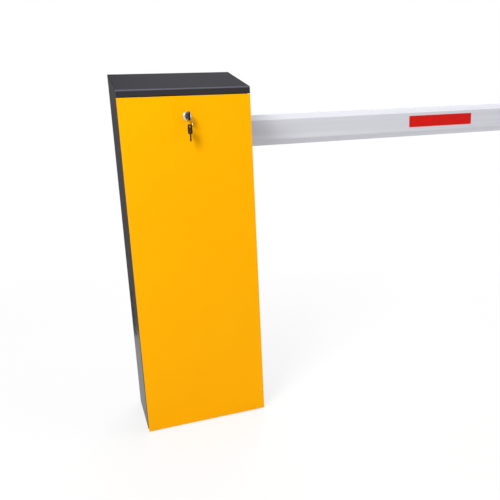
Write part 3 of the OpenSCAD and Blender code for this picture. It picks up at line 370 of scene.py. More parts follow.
def paint_bend_highlight(tree, bsdf):
    coords = tree.nodes.new("ShaderNodeTexCoord")
    away = step(tree, "VectorMath", "SUBTRACT", coords.outputs["Object"], (0.0, BEND_Y, BEND_Z))
    across = step(tree, "VectorMath", "MULTIPLY", away.outputs[0], (0.0, 1.0, 1.0))
    length = step(tree, "VectorMath", "LENGTH", across.outputs[0])
    highlight_mask = map_range(tree, length.outputs["Value"], 0.0, BEND_HIGHLIGHT_WIDTH, 1.0, 0.0)
    # Painted highlight: a pale colour is mixed into the roof paint along the bend.
    mix = tree.nodes.new("ShaderNodeMix")
    mix.data_type = "RGBA"
    mix.inputs[7].default_value = BEND_HIGHLIGHT_PAINT
    paint = bsdf.inputs["Base Color"].links[0].from_socket
    tree.links.new(highlight_mask, mix.inputs[0])
    tree.links.new(paint, mix.inputs[6])
    tree.links.new(mix.outputs[2], bsdf.inputs["Base Color"])


paint_bend_highlight(roof_tree, roof_bsdf)
print("pale bend:", 2000 * BEND_HIGHLIGHT_WIDTH, "mm wide")

# %% [markdown]
# ### Metals
# A drawn or ground metal shows grain along the way it was worked, a plated one a soft haze. One
# function makes both: the noise is stretched along the grain, and roughness and relief follow it. The
# boom is anodised, and its pale oxide scatters most of the light, so it is only one quarter bare metal.

# %% Aluminium, plated and dark steels
EVEN = (1.0, 1.0, 1.0)
ALONG_X = (0.012, 1.0, 1.0)
ALONG_Z = (1.0, 1.0, 0.03)


def metal(slot, dark, light, rough, spread, scale, stretch=EVEN, depth=0.00001, bare=1.0):
    mat, tree, bsdf = shader(slot)
    bsdf.inputs["Metallic"].default_value = bare
    lines = grain(tree, scale, 3.0, stretch)
    haze = grain(tree, scale / 12, 4.0, stretch)
    rough = between(tree, lines, rough - spread, rough + spread)
    finish(slot, mat, two_tone(tree, haze, dark, light), rough, lines, depth, 0.4)


metal("boom_aluminium", (0.60, 0.602, 0.655), (0.67, 0.672, 0.725), 0.46, 0.08, 900.0, ALONG_X, 0.00002,
      bare=0.25)
metal("zinc_steel", (0.56, 0.59, 0.64), (0.68, 0.70, 0.73), 0.36, 0.07, 160.0)
metal("base_steel", (0.40, 0.41, 0.43), (0.52, 0.53, 0.55), 0.50, 0.08, 90.0, EVEN, 0.00004)
metal("fasteners", (0.60, 0.61, 0.62), (0.72, 0.72, 0.70), 0.30, 0.06, 300.0)
metal("dark_steel", (0.10, 0.105, 0.115), (0.15, 0.155, 0.165), 0.48, 0.08, 120.0, EVEN, 0.00004)
metal("bearing_steel", (0.62, 0.63, 0.65), (0.70, 0.71, 0.72), 0.22, 0.05, 700.0, ALONG_Z)
metal("spring_steel", (0.14, 0.145, 0.16), (0.20, 0.205, 0.22), 0.34, 0.06, 400.0)
metal("sensor_brass", (0.70, 0.52, 0.22), (0.80, 0.62, 0.30), 0.30, 0.06, 500.0)
metal("lock_chrome", (0.78, 0.79, 0.81), (0.84, 0.85, 0.86), 0.12, 0.05, 60.0)
metal("ring_wire", (0.44, 0.38, 0.26), (0.54, 0.48, 0.36), 0.24, 0.05, 500.0)
print("metals:", len(finishes) - 3)

# %% [markdown]
# ### Castings, plastics and rubber
# The gearbox and motor are painted castings with a pebbled skin. The key heads, end caps and housings
# are moulded with a fine spark-eroded grain. Rubber is duller and a little dusty.

# %% Castings, plastics and rubber
def moulded(slot, dark, light, rough, scale, depth, shine=0.5):
    mat, tree, bsdf = shader(slot)
    bsdf.inputs["Specular IOR Level"].default_value = shine
    skin = grain(tree, scale, 2.0)
    cloud = grain(tree, 9.0, 3.0)
    rough = between(tree, skin, rough - 0.06, rough + 0.06)
    finish(slot, mat, two_tone(tree, cloud, dark, light), rough, skin, depth, 0.6)


moulded("cast_housing", (0.15, 0.16, 0.175), (0.185, 0.195, 0.21), 0.52, 260.0, 0.00015)
moulded("motor_paint", (0.060, 0.125, 0.205), (0.075, 0.150, 0.235), 0.40, 330.0, 0.00008)
moulded("key_plastic", (0.008, 0.0075, 0.0075), (0.013, 0.012, 0.012), 0.42, 900.0, 0.00004, 0.2)
moulded("black_plastic", (0.012, 0.012, 0.013), (0.020, 0.020, 0.021), 0.48, 700.0, 0.00006, 0.15)
moulded("grey_plastic", (0.50, 0.52, 0.54), (0.57, 0.59, 0.61), 0.46, 600.0, 0.00006)
moulded("rubber", (0.014, 0.014, 0.014), (0.026, 0.025, 0.024), 0.72, 500.0, 0.00010)
print("finishes so far:", len(finishes))

# %% [markdown]
# ### Reflective sheeting
# The red strips are retroreflective sheet: cells sealed in a honeycomb under a clear film. The pattern
# is worked out on the boom's long axes: the point's offset from the nearer of two rectangular lattices
# gives the distance to the cell wall, and the walls are paler and stand a little proud.

# %% Honeycomb sheeting
CELL = 0.0042
HALF_ROW = 0.866
SLANT = (0.5, 0.0, HALF_ROW)
WALL_FROM, WALL_TO = 0.42, 0.49


def lattice_offset(tree, cells, shift):
    moved = step(tree, "VectorMath", "ADD", cells, shift).outputs[0]
    wrap = step(tree, "VectorMath", "WRAP", moved, (0.5, 1.0, HALF_ROW))
    wrap.inputs[2].default_value = (-0.5, -1.0, -HALF_ROW)
    flat = step(tree, "VectorMath", "MULTIPLY", wrap.outputs[0], (1.0, 0.0, 1.0)).outputs[0]
    return step(tree, "VectorMath", "ABSOLUTE", flat).outputs[0]


def wall_distance(tree, offset):
    across = tree.nodes.new("ShaderNodeSeparateXYZ")
    tree.links.new(offset, across.inputs[0])
    slant = step(tree, "VectorMath", "DOT_PRODUCT", offset, SLANT).outputs["Value"]
    return step(tree, "Math", "MAXIMUM", slant, across.outputs["X"]).outputs[0]


def reflective_sheet(slot):
    mat, tree, bsdf = shader(slot)
    coords = tree.nodes.new("ShaderNodeTexCoord")
    cells = step(tree, "VectorMath", "SCALE", coords.outputs["Object"])
    cells.inputs["Scale"].default_value = 1.0 / CELL
    first = wall_distance(tree, lattice_offset(tree, cells.outputs[0], (0.0, 0.0, 0.0)))
    second = wall_distance(tree, lattice_offset(tree, cells.outputs[0], SLANT))
    nearest = step(tree, "Math", "MINIMUM", first, second).outputs[0]
    colour = two_tone(tree, nearest, (0.64, 0.006, 0.004), (0.74, 0.022, 0.015), WALL_FROM, WALL_TO)
    bsdf.inputs["Specular IOR Level"].default_value = 0.1
    finish(slot, mat, colour, between(tree, grain(tree, 40.0, 3.0), 0.22, 0.32), nearest, 0.00005, 0.4)


reflective_sheet("red_reflective")
print("sheeting cells:", CELL * 1000, "mm")

# %% [markdown]
# ### Circuit board
# The control board is seen only with the cover open. Green solder mask lies over copper tracks, which
# show as slightly paler lines. Two noises, one stretched along the board and one up it, stand for the
# tracks.

# %% Circuit board
def board_finish(slot):
    mat, tree, _ = shader(slot)
    lines = grain(tree, 220.0, 0.0, (1.0, 1.0, 0.08))
    rows = grain(tree, 160.0, 0.0, (0.08, 1.0, 1.0))
    tracks = step(tree, "Math", "MAXIMUM", lines, rows).outputs[0]
    colour = two_tone(tree, tracks, (0.006, 0.075, 0.028), (0.020, 0.150, 0.060), 0.55, 0.62)
    finish(slot, mat, colour, between(tree, tracks, 0.32, 0.40), tracks, 0.00004, 0.5)


board_finish("board")
missing = sorted(set(node_slot.values()) - set(finishes))
print("finishes:", len(finishes), "missing:", missing)

# %% [markdown]
# ## Putting a piece in the frame
# A finished piece sits at the origin with its place in its mesh, rides on the body of the node that it
# stands for, hides that node, and takes its finish from the record's slot. Placing always happens in
# the same three calls, so they get one helper.

# %% Helper that places a piece
made = []


def place(name, mesh, nodes, body=None, slot=None):
    obj = bpy.data.objects.new(name, mesh)
    scene.collection.objects.link(obj)
    slot = slot or node_slot[nodes[0]]
    mesh.materials.clear()
    mesh.materials.append(finishes[slot])
    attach(obj, body or node_body[nodes[0]])
    if nodes:
        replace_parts(obj, *nodes)
    made.append(obj)
    return obj


def applied(mesh, modifiers):
    """Runs modifiers on a mesh and gives the plain result."""
    obj = bpy.data.objects.new("work", mesh)
    scene.collection.objects.link(obj)
    for kind, settings in modifiers:
        modifier = obj.modifiers.new(kind, kind)
        for key, value in settings.items():
            if key.startswith("Socket"):
                modifier[key] = value
            else:
                setattr(modifier, key, value)
    result = bpy.data.meshes.new_from_object(obj.evaluated_get(bpy.context.evaluated_depsgraph_get()))
    obj.modifiers.clear()
    bpy.data.objects.remove(obj)
    return result


# %% [markdown]
# ## Real edges
# A CAD edge is perfectly sharp and catches no light. A real sheet is folded round a radius and its cut
# edges are broken, so each hard piece becomes a merged copy of its solid with rounded edges. Each
# edge carries its own bevel weight: a fold gets the bending radius, any other edge a fine break, and an
# edge on the inside of the cover's folds none. Large faces with holes are then filled with even
# triangles, and a corner that the bevel pushed out by a hair is brought back into the solid's box.

# %% Merged copies with rounded edges
SHARP = math.radians(28)
FLAT = math.radians(0.5)
SAME_POINT = 2e-6
FINE_EDGE = 0.0003


def merged_copy(node):
    work = bmesh.new()
    work.from_mesh(frame["nodes"][node].data)
    bmesh.ops.remove_doubles(work, verts=work.verts, dist=SAME_POINT)
    bmesh.ops.dissolve_limit(work, angle_limit=FLAT, verts=work.verts, edges=work.edges)
    return work


def rounded(work, fine, fold=0.0, is_fold=None, left_sharp=None, outer_only=False):
    """Rounds a mesh's sharp edges, folds by their own radius, and shades it smoothly."""
    widest = max(fine, fold)
    low = [min(corner.co[axis] for corner in work.verts) for axis in range(3)]
    high = [max(corner.co[axis] for corner in work.verts) for axis in range(3)]
    weight = work.edges.layers.float.new("bevel_weight_edge")
    for edge in work.edges:
        if len(edge.link_faces) != 2 or edge.calc_face_angle(0.0) < SHARP:
            continue
        if outer_only and not edge.is_convex:
            continue
        ends = [corner.co for corner in edge.verts]
        if is_fold and is_fold(*ends):
            edge[weight] = fold / widest
        elif not (left_sharp and left_sharp(*ends)):
            edge[weight] = fine / widest
    for face in work.faces:
        face.smooth = True
    mesh = bpy.data.meshes.new("rounded")
    work.to_mesh(mesh)
    work.free()
    bevel = {"limit_method": "WEIGHT", "width": widest, "segments": 3, "use_clamp_overlap": False,
             "loop_slide": False}
    fill = {"ngon_method": "BEAUTY", "min_vertices": 5}
    mesh = applied(mesh, [("BEVEL", bevel), ("TRIANGULATE", fill), ("WEIGHTED_NORMAL", {"keep_sharp": True})])
    for corner in mesh.vertices:
        corner.co = [min(max(at, least), most) for at, least, most in zip(corner.co, low, high)]
    return mesh


def soften(node, fine=FINE_EDGE, **folds):
    return place(node + "_piece", rounded(merged_copy(node), fine, **folds), [node])


def near(value, target, slack=2e-4):
    return abs(value - target) < slack


def both(ends, axis, target):
    return all(near(abs(end[axis]), abs(target)) and end[axis] * target >= 0 for end in ends)


# %% [markdown]
# ## Front cover
# The yellow cover is one sheet folded on a press: a face with sides turned back, narrow lips turned in
# again, a top edge and a bottom edge. The sides lean inward, so a dark gap shows behind the cover's
# edge, and the folds have a small radius, which draws the bright lines along the edges.

# %% Front cover
cover_low, cover_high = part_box("front_cover")
FACE_Y = cover_low[1]
COVER_SHEET = 0.0015
COVER_FOLD = 0.0011
LEAN = 0.003
BOTTOM_FOLD_HALF = 0.14
LONG_EDGE = 0.3


def cover_fold(a, b):
    ends = (a, b)
    on_face = both(ends, 1, FACE_Y)
    side = both(ends, 0, cover_low[0]) or both(ends, 0, cover_high[0])
    top = both(ends, 2, cover_high[2])
    bottom = both(ends, 2, cover_low[2]) and all(abs(end.x) < BOTTOM_FOLD_HALF for end in ends)
    rear = both(ends, 1, cover_high[1]) and all(near(abs(end.x), cover_high[0] - LEAN) for end in ends)
    return (on_face and (side or top or bottom)) or (rear and abs(a.z - b.z) > LONG_EDGE)


def cover_inside(a, b):
    behind_face = both((a, b), 1, FACE_Y + COVER_SHEET)
    under_top = both((a, b), 2, cover_high[2] - COVER_SHEET)
    return behind_face or under_top


cover = soften("front_cover", fold=COVER_FOLD, is_fold=cover_fold, left_sharp=cover_inside)
print("front cover:", len(cover.data.polygons), "faces")

# %% [markdown]
# ## Roof
# The roof is a thicker dark sheet: it slopes to the front, turns down in a tight bend, and ends in a lip
# with its edge folded in. At the back it turns down over the panel. The front bend is already in the
# solid; only the other folds and the cut ends need rounding.

# %% Roof
roof_low, roof_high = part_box("top_cover")
ROOF_FOLD = 0.0016
ROOF_WIDE = 0.2
SLOPE_SLACK = 0.002


def roof_fold(a, b):
    along = abs(a.x - b.x) > ROOF_WIDE
    front_low = near(a.y, roof_low[1]) and near(a.z, roof_low[2])
    rear_top = near(a.y, roof_high[1]) and near(a.z, roof_high[2], SLOPE_SLACK)
    return along and (front_low or rear_top)


roof = soften("top_cover", fold=ROOF_FOLD, is_fold=roof_fold)
print("roof:", len(roof.data.polygons), "faces")

# %% [markdown]
# ## Side and back panels
# The side panels are flat sheets with ventilation slots and a folded front edge, on which the seals of
# the cover lie; the back panel closes the case.

# %% Panels
PANEL_FOLD = 0.0014
PANEL_TALL = 0.5
panel_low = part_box("side_panel_left")[0]
panel_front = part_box("door_seals")[1][1]


def panel_fold(a, b):
    upright = abs(a.z - b.z) > PANEL_TALL
    return upright and near(abs(a.x), abs(panel_low[0])) and near(a.y, panel_front)


for panel in ("side_panel_left", "side_panel_right"):
    soften(panel, fold=PANEL_FOLD, is_fold=panel_fold)
soften("back_panel")
print("panels:", [obj.name for obj in made[-3:]])

# %% [markdown]
# ## Node trees that make what repeats
# Screws, louvres, strips and wound wire follow rules, so Geometry Nodes make them. Each tree has named
# inputs for its sizes. A helper sets them by the socket's identifier, runs the tree on a small start
# mesh and keeps the result as a plain mesh.

# %% Helpers for node trees
def new_tree(name, inputs):
    tree = bpy.data.node_groups.new(name, "GeometryNodeTree")
    tree.interface.new_socket("Geometry", in_out="INPUT", socket_type="NodeSocketGeometry")
    for label, kind in inputs.items():
        tree.interface.new_socket(label, in_out="INPUT", socket_type="NodeSocket" + kind)
    tree.interface.new_socket("Geometry", in_out="OUTPUT", socket_type="NodeSocketGeometry")
    return tree, tree.nodes.new("NodeGroupInput").outputs


def add(tree, kind, links=None, **settings):
    """Adds a node, sets its fields, and links or sets its inputs by name."""
    node = tree.nodes.new(kind if kind.startswith("Shader") else "GeometryNode" + kind)
    for key, value in settings.items():
        setattr(node, key, value)
    for name, value in (links or {}).items():
        socket = node.inputs[name]
        if isinstance(value, bpy.types.NodeSocket):
            tree.links.new(value, socket)
        else:
            socket.default_value = value
    return node.outputs


def joined(tree, parts):
    join = tree.nodes.new("GeometryNodeJoinGeometry")
    for part in parts:
        tree.links.new(part, join.inputs[0])
    return join.outputs[0]


def close_tree(tree, geometry, material):
    solid = add(tree, "RealizeInstances", {"Geometry": geometry})[0]
    painted = add(tree, "SetMaterial", {"Geometry": solid, "Material": material})[0]
    end = tree.nodes.new("NodeGroupOutput")
    tree.links.new(painted, end.inputs[0])


def times(tree, value, factor):
    return add(tree, "ShaderNodeMath", {0: value, 1: factor}, operation="MULTIPLY")[0]


def along_z(tree, value):
    return add(tree, "ShaderNodeCombineXYZ", {"Z": value})[0]


def grown(start, tree, sizes, after=()):
    """Runs a tree with its inputs set on a start mesh, and then the modifiers that come after it."""
    inputs = {item.identifier: sizes[item.name] for item in tree.interface.items_tree
              if item.in_out == "INPUT" and item.name in sizes}
    return applied(start, [("NODES", {"node_group": tree, **inputs}), *after])


def points_mesh(places, edges=()):
    mesh = bpy.data.meshes.new("start")
    mesh.from_pydata([tuple(place) for place in places], list(edges), [])
    return mesh


def one_mesh(meshes):
    work = bmesh.new()
    for mesh in meshes:
        work.from_mesh(mesh)
    result = bpy.data.meshes.new("joined")
    work.to_mesh(result)
    work.free()
    return result


def islands(node):
    """Boxes of a node's separate bodies, lowest and highest corners, in the same order at every run."""
    work = merged_copy(node)
    left, boxes = set(work.verts), []
    while left:
        group, stack = [], [left.pop()]
        while stack:
            vert = stack.pop()
            group.append(vert.co.copy())
            for edge in vert.link_edges:
                other = edge.other_vert(vert)
                if other in left:
                    left.remove(other)
                    stack.append(other)
        boxes.append(tuple([pick(p[i] for p in group) for i in range(3)] for pick in (min, max)))
    work.free()
    return sorted(boxes)


print("helpers ready")

# %% [markdown]
# ## Hexagon bolts and screws
# Machine bolts hold the gearbox and clamp the boom, flanged screws hold the roof. A bolt is a hexagon,
# a washer face and a shank. The tree puts one on every start point and turns it the way it is driven;
# a bevel afterwards breaks the hexagon's corners as a forged head's are.

# %% Hexagon fasteners
HEAD_BREAK = 0.0002
CORNER_PER_FLATS = 0.57735
BROKEN_EDGE = [("BEVEL", {"width": HEAD_BREAK, "segments": 2, "limit_method": "ANGLE", "angle_limit": SHARP}),
               ("WEIGHTED_NORMAL", {"keep_sharp": True})]


def standing_cylinder(tree, sides, radius, depth, middle):
    body = add(tree, "MeshCylinder", {"Vertices": sides, "Radius": radius, "Depth": depth})[0]
    return add(tree, "Transform", {"Geometry": body, "Translation": along_z(tree, middle)})[0]


def fastener_tree():
    tree, size = new_tree("hex_fasteners", {
        "Flats": "Float", "Head Height": "Float", "Washer Radius": "Float", "Washer Height": "Float",
        "Shank Radius": "Float", "Shank Length": "Float", "Turn": "Rotation", "Material": "Material"})
    height, washer, length = size["Head Height"], size["Washer Height"], size["Shank Length"]
    lift = add(tree, "ShaderNodeMath", {0: times(tree, height, 0.5), 1: washer})[0]
    head = standing_cylinder(tree, 6, times(tree, size["Flats"], CORNER_PER_FLATS), height, lift)
    rim = standing_cylinder(tree, 40, size["Washer Radius"], washer, times(tree, washer, 0.5))
    shank = standing_cylinder(tree, 24, size["Shank Radius"], length, times(tree, length, -0.5))
    bolt = joined(tree, [head, rim, shank])
    copies = add(tree, "InstanceOnPoints", {"Points": size["Geometry"], "Instance": bolt,
                                            "Rotation": size["Turn"]})[0]
    close_tree(tree, copies, size["Material"])
    return tree


hex_tree = fastener_tree()
TO_FRONT = (math.radians(90), 0.0, 0.0)
TO_BACK = (math.radians(-90), 0.0, 0.0)


def bolts(node, facing, flats, head, washer_r, washer_t, shank_r):
    """Makes a node's bolts from the places of its solids, one group for each shank length."""
    groups = {}
    for low, high in islands(node):
        x, z = (low[0] + high[0]) / 2, (low[2] + high[2]) / 2
        seat = low[1] + head if facing == TO_FRONT else high[1] - head
        reach = high[1] - seat if facing == TO_FRONT else seat - low[1]
        groups.setdefault(round(reach, 4), []).append((x, seat, z))
    meshes = [grown(points_mesh(places), hex_tree, {
        "Flats": flats, "Head Height": head - washer_t, "Washer Radius": washer_r, "Washer Height": washer_t,
        "Shank Radius": shank_r, "Shank Length": reach, "Turn": facing,
        "Material": finishes[node_slot[node]]}, BROKEN_EDGE) for reach, places in groups.items()]
    place(node + "_piece", one_mesh(meshes), [node])


bolts("clamp_bolts", TO_FRONT, flats=0.016, head=0.0065, washer_r=0.0078, washer_t=0.0006, shank_r=0.005)
bolts("mechanism_bolts", TO_FRONT, flats=0.013, head=0.0055, washer_r=0.0063, washer_t=0.0005, shank_r=0.004)
bolts("roof_screws", TO_BACK, flats=0.008, head=0.003, washer_r=0.0055, washer_t=0.0008, shank_r=0.003)
print("bolts:", sum(len(islands(node)) for node in ("clamp_bolts", "mechanism_bolts", "roof_screws")))

# %% [markdown]
# ## Louvre blades
# On the lower edge of each ventilation slot lies a black plastic blade that bends up behind the sheet, so
# rain runs out again and the eye doesn't reach the mechanism. The blades' black is also painted shade: it
# stands for the shade inside the slots. A grid bent by a square law gives the blade, and a line of points
# repeats it. A single short blade lines the drain slit near the floor, and its black is painted shade too.

# %% Louvre blades in both sides
LOUVRE_COUNT = 6
LOUVRE_PITCH = 0.0245
LOUVRE_START = Vector((0.1748, 0.038, 0.2596))
LOUVRE_SIZE = (0.0645, 0.014, 0.010)
LOUVRE_SHEET = 0.0008
DRAIN_START = Vector((0.1748, 0.084, 0.0131))
DRAIN_SIZE = (0.0195, 0.004, 0.001)


def louvre_tree():
    tree, size = new_tree("louvre_blades", {
        "Count": "Int", "Pitch": "Float", "Length": "Float", "Depth": "Float", "Rise": "Float",
        "Start": "Vector", "Turn": "Rotation", "Material": "Material"})
    blade = add(tree, "MeshGrid", {"Size X": size["Depth"], "Size Y": size["Length"],
                                   "Vertices X": 9, "Vertices Y": 2})[0]
    blade = add(tree, "Transform", {"Geometry": blade, "Translation": add(tree, "ShaderNodeCombineXYZ", {
        "X": times(tree, size["Depth"], 0.5)})[0]})[0]
    across = add(tree, "ShaderNodeSeparateXYZ", {0: add(tree, "InputPosition")[0]})[0]
    share = add(tree, "ShaderNodeMath", {0: across, 1: size["Depth"]}, operation="DIVIDE")[0]
    square = add(tree, "ShaderNodeMath", {0: share, 1: 2.0}, operation="POWER")[0]
    lift = times(tree, square, size["Rise"])
    bent = add(tree, "SetPosition", {"Geometry": blade, "Offset": along_z(tree, lift)})[0]
    line = add(tree, "MeshLine", {"Count": size["Count"], "Start Location": size["Start"],
                                  "Offset": along_z(tree, size["Pitch"])})[0]
    copies = add(tree, "InstanceOnPoints", {"Points": line, "Instance": bent, "Rotation": size["Turn"]})[0]
    close_tree(tree, copies, size["Material"])
    return tree


blades = louvre_tree()


def louvres(side, turn, first, count, sizes):
    """A row of blades; the sizes are a blade's length, depth and rise."""
    length, depth, rise = sizes
    start = Vector((side * first.x, first.y, first.z))
    mesh = grown(points_mesh([start]), blades, {
        "Count": count, "Pitch": LOUVRE_PITCH, "Length": length, "Depth": depth, "Rise": rise,
        "Start": start, "Turn": (0.0, 0.0, turn), "Material": finishes["black_plastic"]},
        [("SOLIDIFY", {"thickness": LOUVRE_SHEET, "offset": -1.0})])
    for face in mesh.polygons:
        face.use_smooth = True
    return mesh


for name, side, turn in (("left", -1, 0.0), ("right", 1, math.pi)):
    row = louvres(side, turn, LOUVRE_START, LOUVRE_COUNT, LOUVRE_SIZE)
    # Painted shade: the blades' black stands for the shade inside the slots.
    place("louvres_" + name, row, [], "cabinet", "black_plastic")
    lip = louvres(side, turn, DRAIN_START, 1, DRAIN_SIZE)
    # Painted shade: the drain lip's black stands for the shade in the slit.
    place("drain_lip_" + name, lip, [], "cabinet", "black_plastic")
print("louvres:", 2 * LOUVRE_COUNT)

# %% [markdown]
# ## Reflective strips
# The strips are die cut with small round corners and glued to both faces of the boom. A filleted
# rectangle is filled and extruded by the film's thickness, then repeated along the boom.

# %% Strips on both faces of the boom
strip_boxes = islands("reflective_strips")
STRIP_CORNER = 0.0015


def strip_tree():
    tree, size = new_tree("reflective_film", {
        "Length": "Float", "Height": "Float", "Corner": "Float", "Thickness": "Float", "Turn": "Rotation",
        "Material": "Material"})
    outline = add(tree, "CurvePrimitiveQuadrilateral", {"Width": size["Length"], "Height": size["Height"]})[0]
    outline = add(tree, "FilletCurve", {"Curve": outline, "Radius": size["Corner"], "Count": 6,
                                        "Limit Radius": True}, mode="POLY")[0]
    sheet = add(tree, "FillCurve", {"Curve": outline}, mode="NGONS")[0]
    film = add(tree, "ExtrudeMesh", {"Mesh": sheet, "Offset Scale": size["Thickness"],
                                     "Individual": False})[0]
    back = add(tree, "FlipFaces", {"Mesh": sheet})[0]
    closed = add(tree, "MergeByDistance", {"Geometry": joined(tree, [film, back]), "Distance": 0.00001})[0]
    copies = add(tree, "InstanceOnPoints", {"Points": size["Geometry"], "Instance": closed,
                                            "Rotation": size["Turn"]})[0]
    close_tree(tree, copies, size["Material"])
    return tree


film_tree = strip_tree()
film_low, film_high = strip_boxes[0]
film_sizes = {"Length": film_high[0] - film_low[0], "Height": film_high[2] - film_low[2],
              "Corner": STRIP_CORNER, "Thickness": film_high[1] - film_low[1],
              "Material": finishes["red_reflective"]}
boom_low, boom_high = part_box("boom")
boom_middle_y = (boom_low[1] + boom_high[1]) / 2
films = []
for turn, front in ((TO_FRONT, True), (TO_BACK, False)):
    places = [((low[0] + high[0]) / 2, high[1] if front else low[1], (low[2] + high[2]) / 2)
              for low, high in strip_boxes if (low[1] < boom_middle_y) == front]
    films.append(grown(points_mesh(places), film_tree, dict(film_sizes, Turn=turn)))
place("reflective_strips_piece", one_mesh(films), ["reflective_strips"])
print("strips:", len(strip_boxes))

# %% [markdown]
# ## Key ring and balance spring
# Both are wound wire. The ring is a split ring, two turns of thin wire lying on each other, so a spiral
# is enough. The spring has straight ends that sit in sockets and half turns that lead into the coil, so
# its path is worked out point by point. One tree sweeps a round wire along a path.

# %% Wire along a path
def wire_tree():
    tree, size = new_tree("wound_wire", {"Wire Radius": "Float", "Sides": "Int", "Material": "Material"})
    path = add(tree, "MeshToCurve", {"Mesh": size["Geometry"]})[0]
    section = add(tree, "CurvePrimitiveCircle", {"Resolution": size["Sides"],
                                                 "Radius": size["Wire Radius"]})[0]
    wire = add(tree, "CurveToMesh", {"Curve": path, "Profile Curve": section, "Fill Caps": True})[0]
    smooth = add(tree, "SetShadeSmooth", {"Geometry": wire})[0]
    close_tree(tree, smooth, size["Material"])
    return tree


wire = wire_tree()


def wound(points, radius, sides, slot):
    start = points_mesh(points, [(i, i + 1) for i in range(len(points) - 1)])
    return grown(start, wire, {"Wire Radius": radius, "Sides": sides, "Material": finishes[slot]})


ring_low, ring_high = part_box("key_ring")
ring_middle = [(a + b) / 2 for a, b in zip(ring_low, ring_high)]
RING_WIRE = (ring_high[1] - ring_low[1]) / 4
RING_STEPS = 180
RING_TURNS = 0.97
RING_START = 2.2
RING_RISE = RING_WIRE * 0.98
ring_radius = (ring_high[0] - ring_low[0]) / 2 - 2 * RING_WIRE
ring_points = []
for i in range(RING_STEPS + 1):
    angle = 4 * math.pi * RING_TURNS * i / RING_STEPS + RING_START
    ring_points.append((ring_middle[0] + ring_radius * math.cos(angle),
                        ring_middle[1] - RING_RISE + 2 * RING_RISE * i / RING_STEPS,
                        ring_middle[2] + ring_radius * math.sin(angle)))
place("key_ring_piece", wound(ring_points, RING_WIRE, 12, "ring_wire"), ["key_ring"])
print("key ring: radius", round(ring_radius * 1000, 2), "mm, wire", round(2000 * RING_WIRE, 2), "mm")

# %% [markdown]
# The spring is longest with the boom lowered. As the boom rises, the lever lets the spring's upper end
# down by its fall. Here the spring piece gets a mesh of its own.

# %% Balance spring
SPRING_TURNS = 20
SPRING_LEAD = 0.005
SPRING_RISE = 0.014
SPRING_WIRE = 0.0025
STEPS = 28
spring_low, spring_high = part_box("balance_spring")
spring_x = -0.06364
spring_y = -0.048
spring_r = 0.019
coil_start = spring_low[2] + SPRING_LEAD + SPRING_RISE
coil_rise = spring_high[2] - spring_low[2] - 2 * (SPRING_LEAD + SPRING_RISE)


def spring_point(angle, radius, z):
    return (spring_x + radius * math.cos(angle), spring_y + radius * math.sin(angle), z)


spring_path = [(spring_x, spring_y, spring_low[2])]
for i in range(STEPS):
    share = i / STEPS
    ease = (1 - math.cos(math.pi * share)) / 2
    height = spring_low[2] + SPRING_LEAD + SPRING_RISE * share
    spring_path.append(spring_point(math.pi * share, spring_r * ease, height))
for i in range(SPRING_TURNS * STEPS + 1):
    share = i / (SPRING_TURNS * STEPS)
    height = coil_start + coil_rise * share
    spring_path.append(spring_point(math.pi + 2 * math.pi * i / STEPS, spring_r, height))
for i in range(1, STEPS + 1):
    share = i / STEPS
    ease = (1 + math.cos(math.pi * share)) / 2
    height = coil_start + coil_rise + SPRING_RISE * share
    spring_path.append(spring_point(math.pi + math.pi * share, spring_r * ease, height))
spring_path.append((spring_x, spring_y, spring_high[2]))
coil = wound(spring_path, SPRING_WIRE, 14, "spring_steel")
spring = place("balance_spring_piece", coil, ["balance_spring"])
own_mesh(spring)

# %% [markdown]
# ## Cam lock
# The lock is a turned and chromed body: a flange with a rolled rim and a dished face, and a threaded
# barrel behind the sheet. A profile swept round the axis is the whole shape, as on a lathe.

# %% Lock body
lock_low, lock_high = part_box("lock_body")
lock_z = (lock_low[2] + lock_high[2]) / 2
HEAD_R = (lock_high[0] - lock_low[0]) / 2
BARREL_R = 0.009
BORE_R = 0.00605
BORE_BREAK = (0.0008, 0.0006)
DISH_FROM, DISH_TO = 0.0030, 0.0022
EDGE_BREAK = 0.0004
RIM = 0.0016
RIM_SINK = 0.0018
THREAD_PITCH = 0.0010
THREAD_DEPTH = 0.0006
THREAD_FROM, THREAD_TO = 0.0020, 0.0015
SEAT_Y = FACE_Y


def turned(profile, z, segments=64):
    """Sweeps a closed profile of radius and depth round an axis along Y."""
    work = bmesh.new()
    turns = [2 * math.pi * k / segments for k in range(segments)]
    rings = [[work.verts.new((r * math.cos(turn), y, z + r * math.sin(turn))) for turn in turns]
             for r, y in profile]
    for i, ring in enumerate(rings):
        after = rings[(i + 1) % len(rings)]
        for k in range(segments):
            work.faces.new((ring[k], after[k], after[(k + 1) % segments], ring[(k + 1) % segments]))
    bmesh.ops.recalc_face_normals(work, faces=work.faces)
    for face in work.faces:
        face.smooth = True
    mesh = bpy.data.meshes.new("turned")
    work.to_mesh(mesh)
    work.free()
    mesh.set_sharp_from_angle(angle=math.radians(50))
    return mesh


def lock_profile():
    front, back = lock_low[1], lock_high[1]
    profile = [(BORE_R, front + BORE_BREAK[1]), (BORE_R + BORE_BREAK[0], front)]
    profile += [(HEAD_R - DISH_FROM, front), (HEAD_R - DISH_TO, front + EDGE_BREAK)]
    profile += [(HEAD_R - RIM + RIM * math.sin(a), front + RIM_SINK - RIM * math.cos(a))
                for a in (0.0, 0.4, 0.8, 1.2, 1.5708)]
    profile += [(HEAD_R, SEAT_Y - EDGE_BREAK), (HEAD_R - EDGE_BREAK, SEAT_Y), (BARREL_R, SEAT_Y)]
    y = SEAT_Y + THREAD_FROM
    while y < back - THREAD_TO:
        profile += [(BARREL_R, y), (BARREL_R - THREAD_DEPTH, y + THREAD_PITCH / 2)]
        y += THREAD_PITCH
    profile += [(BARREL_R - THREAD_DEPTH, back), (BORE_R, back)]
    return profile


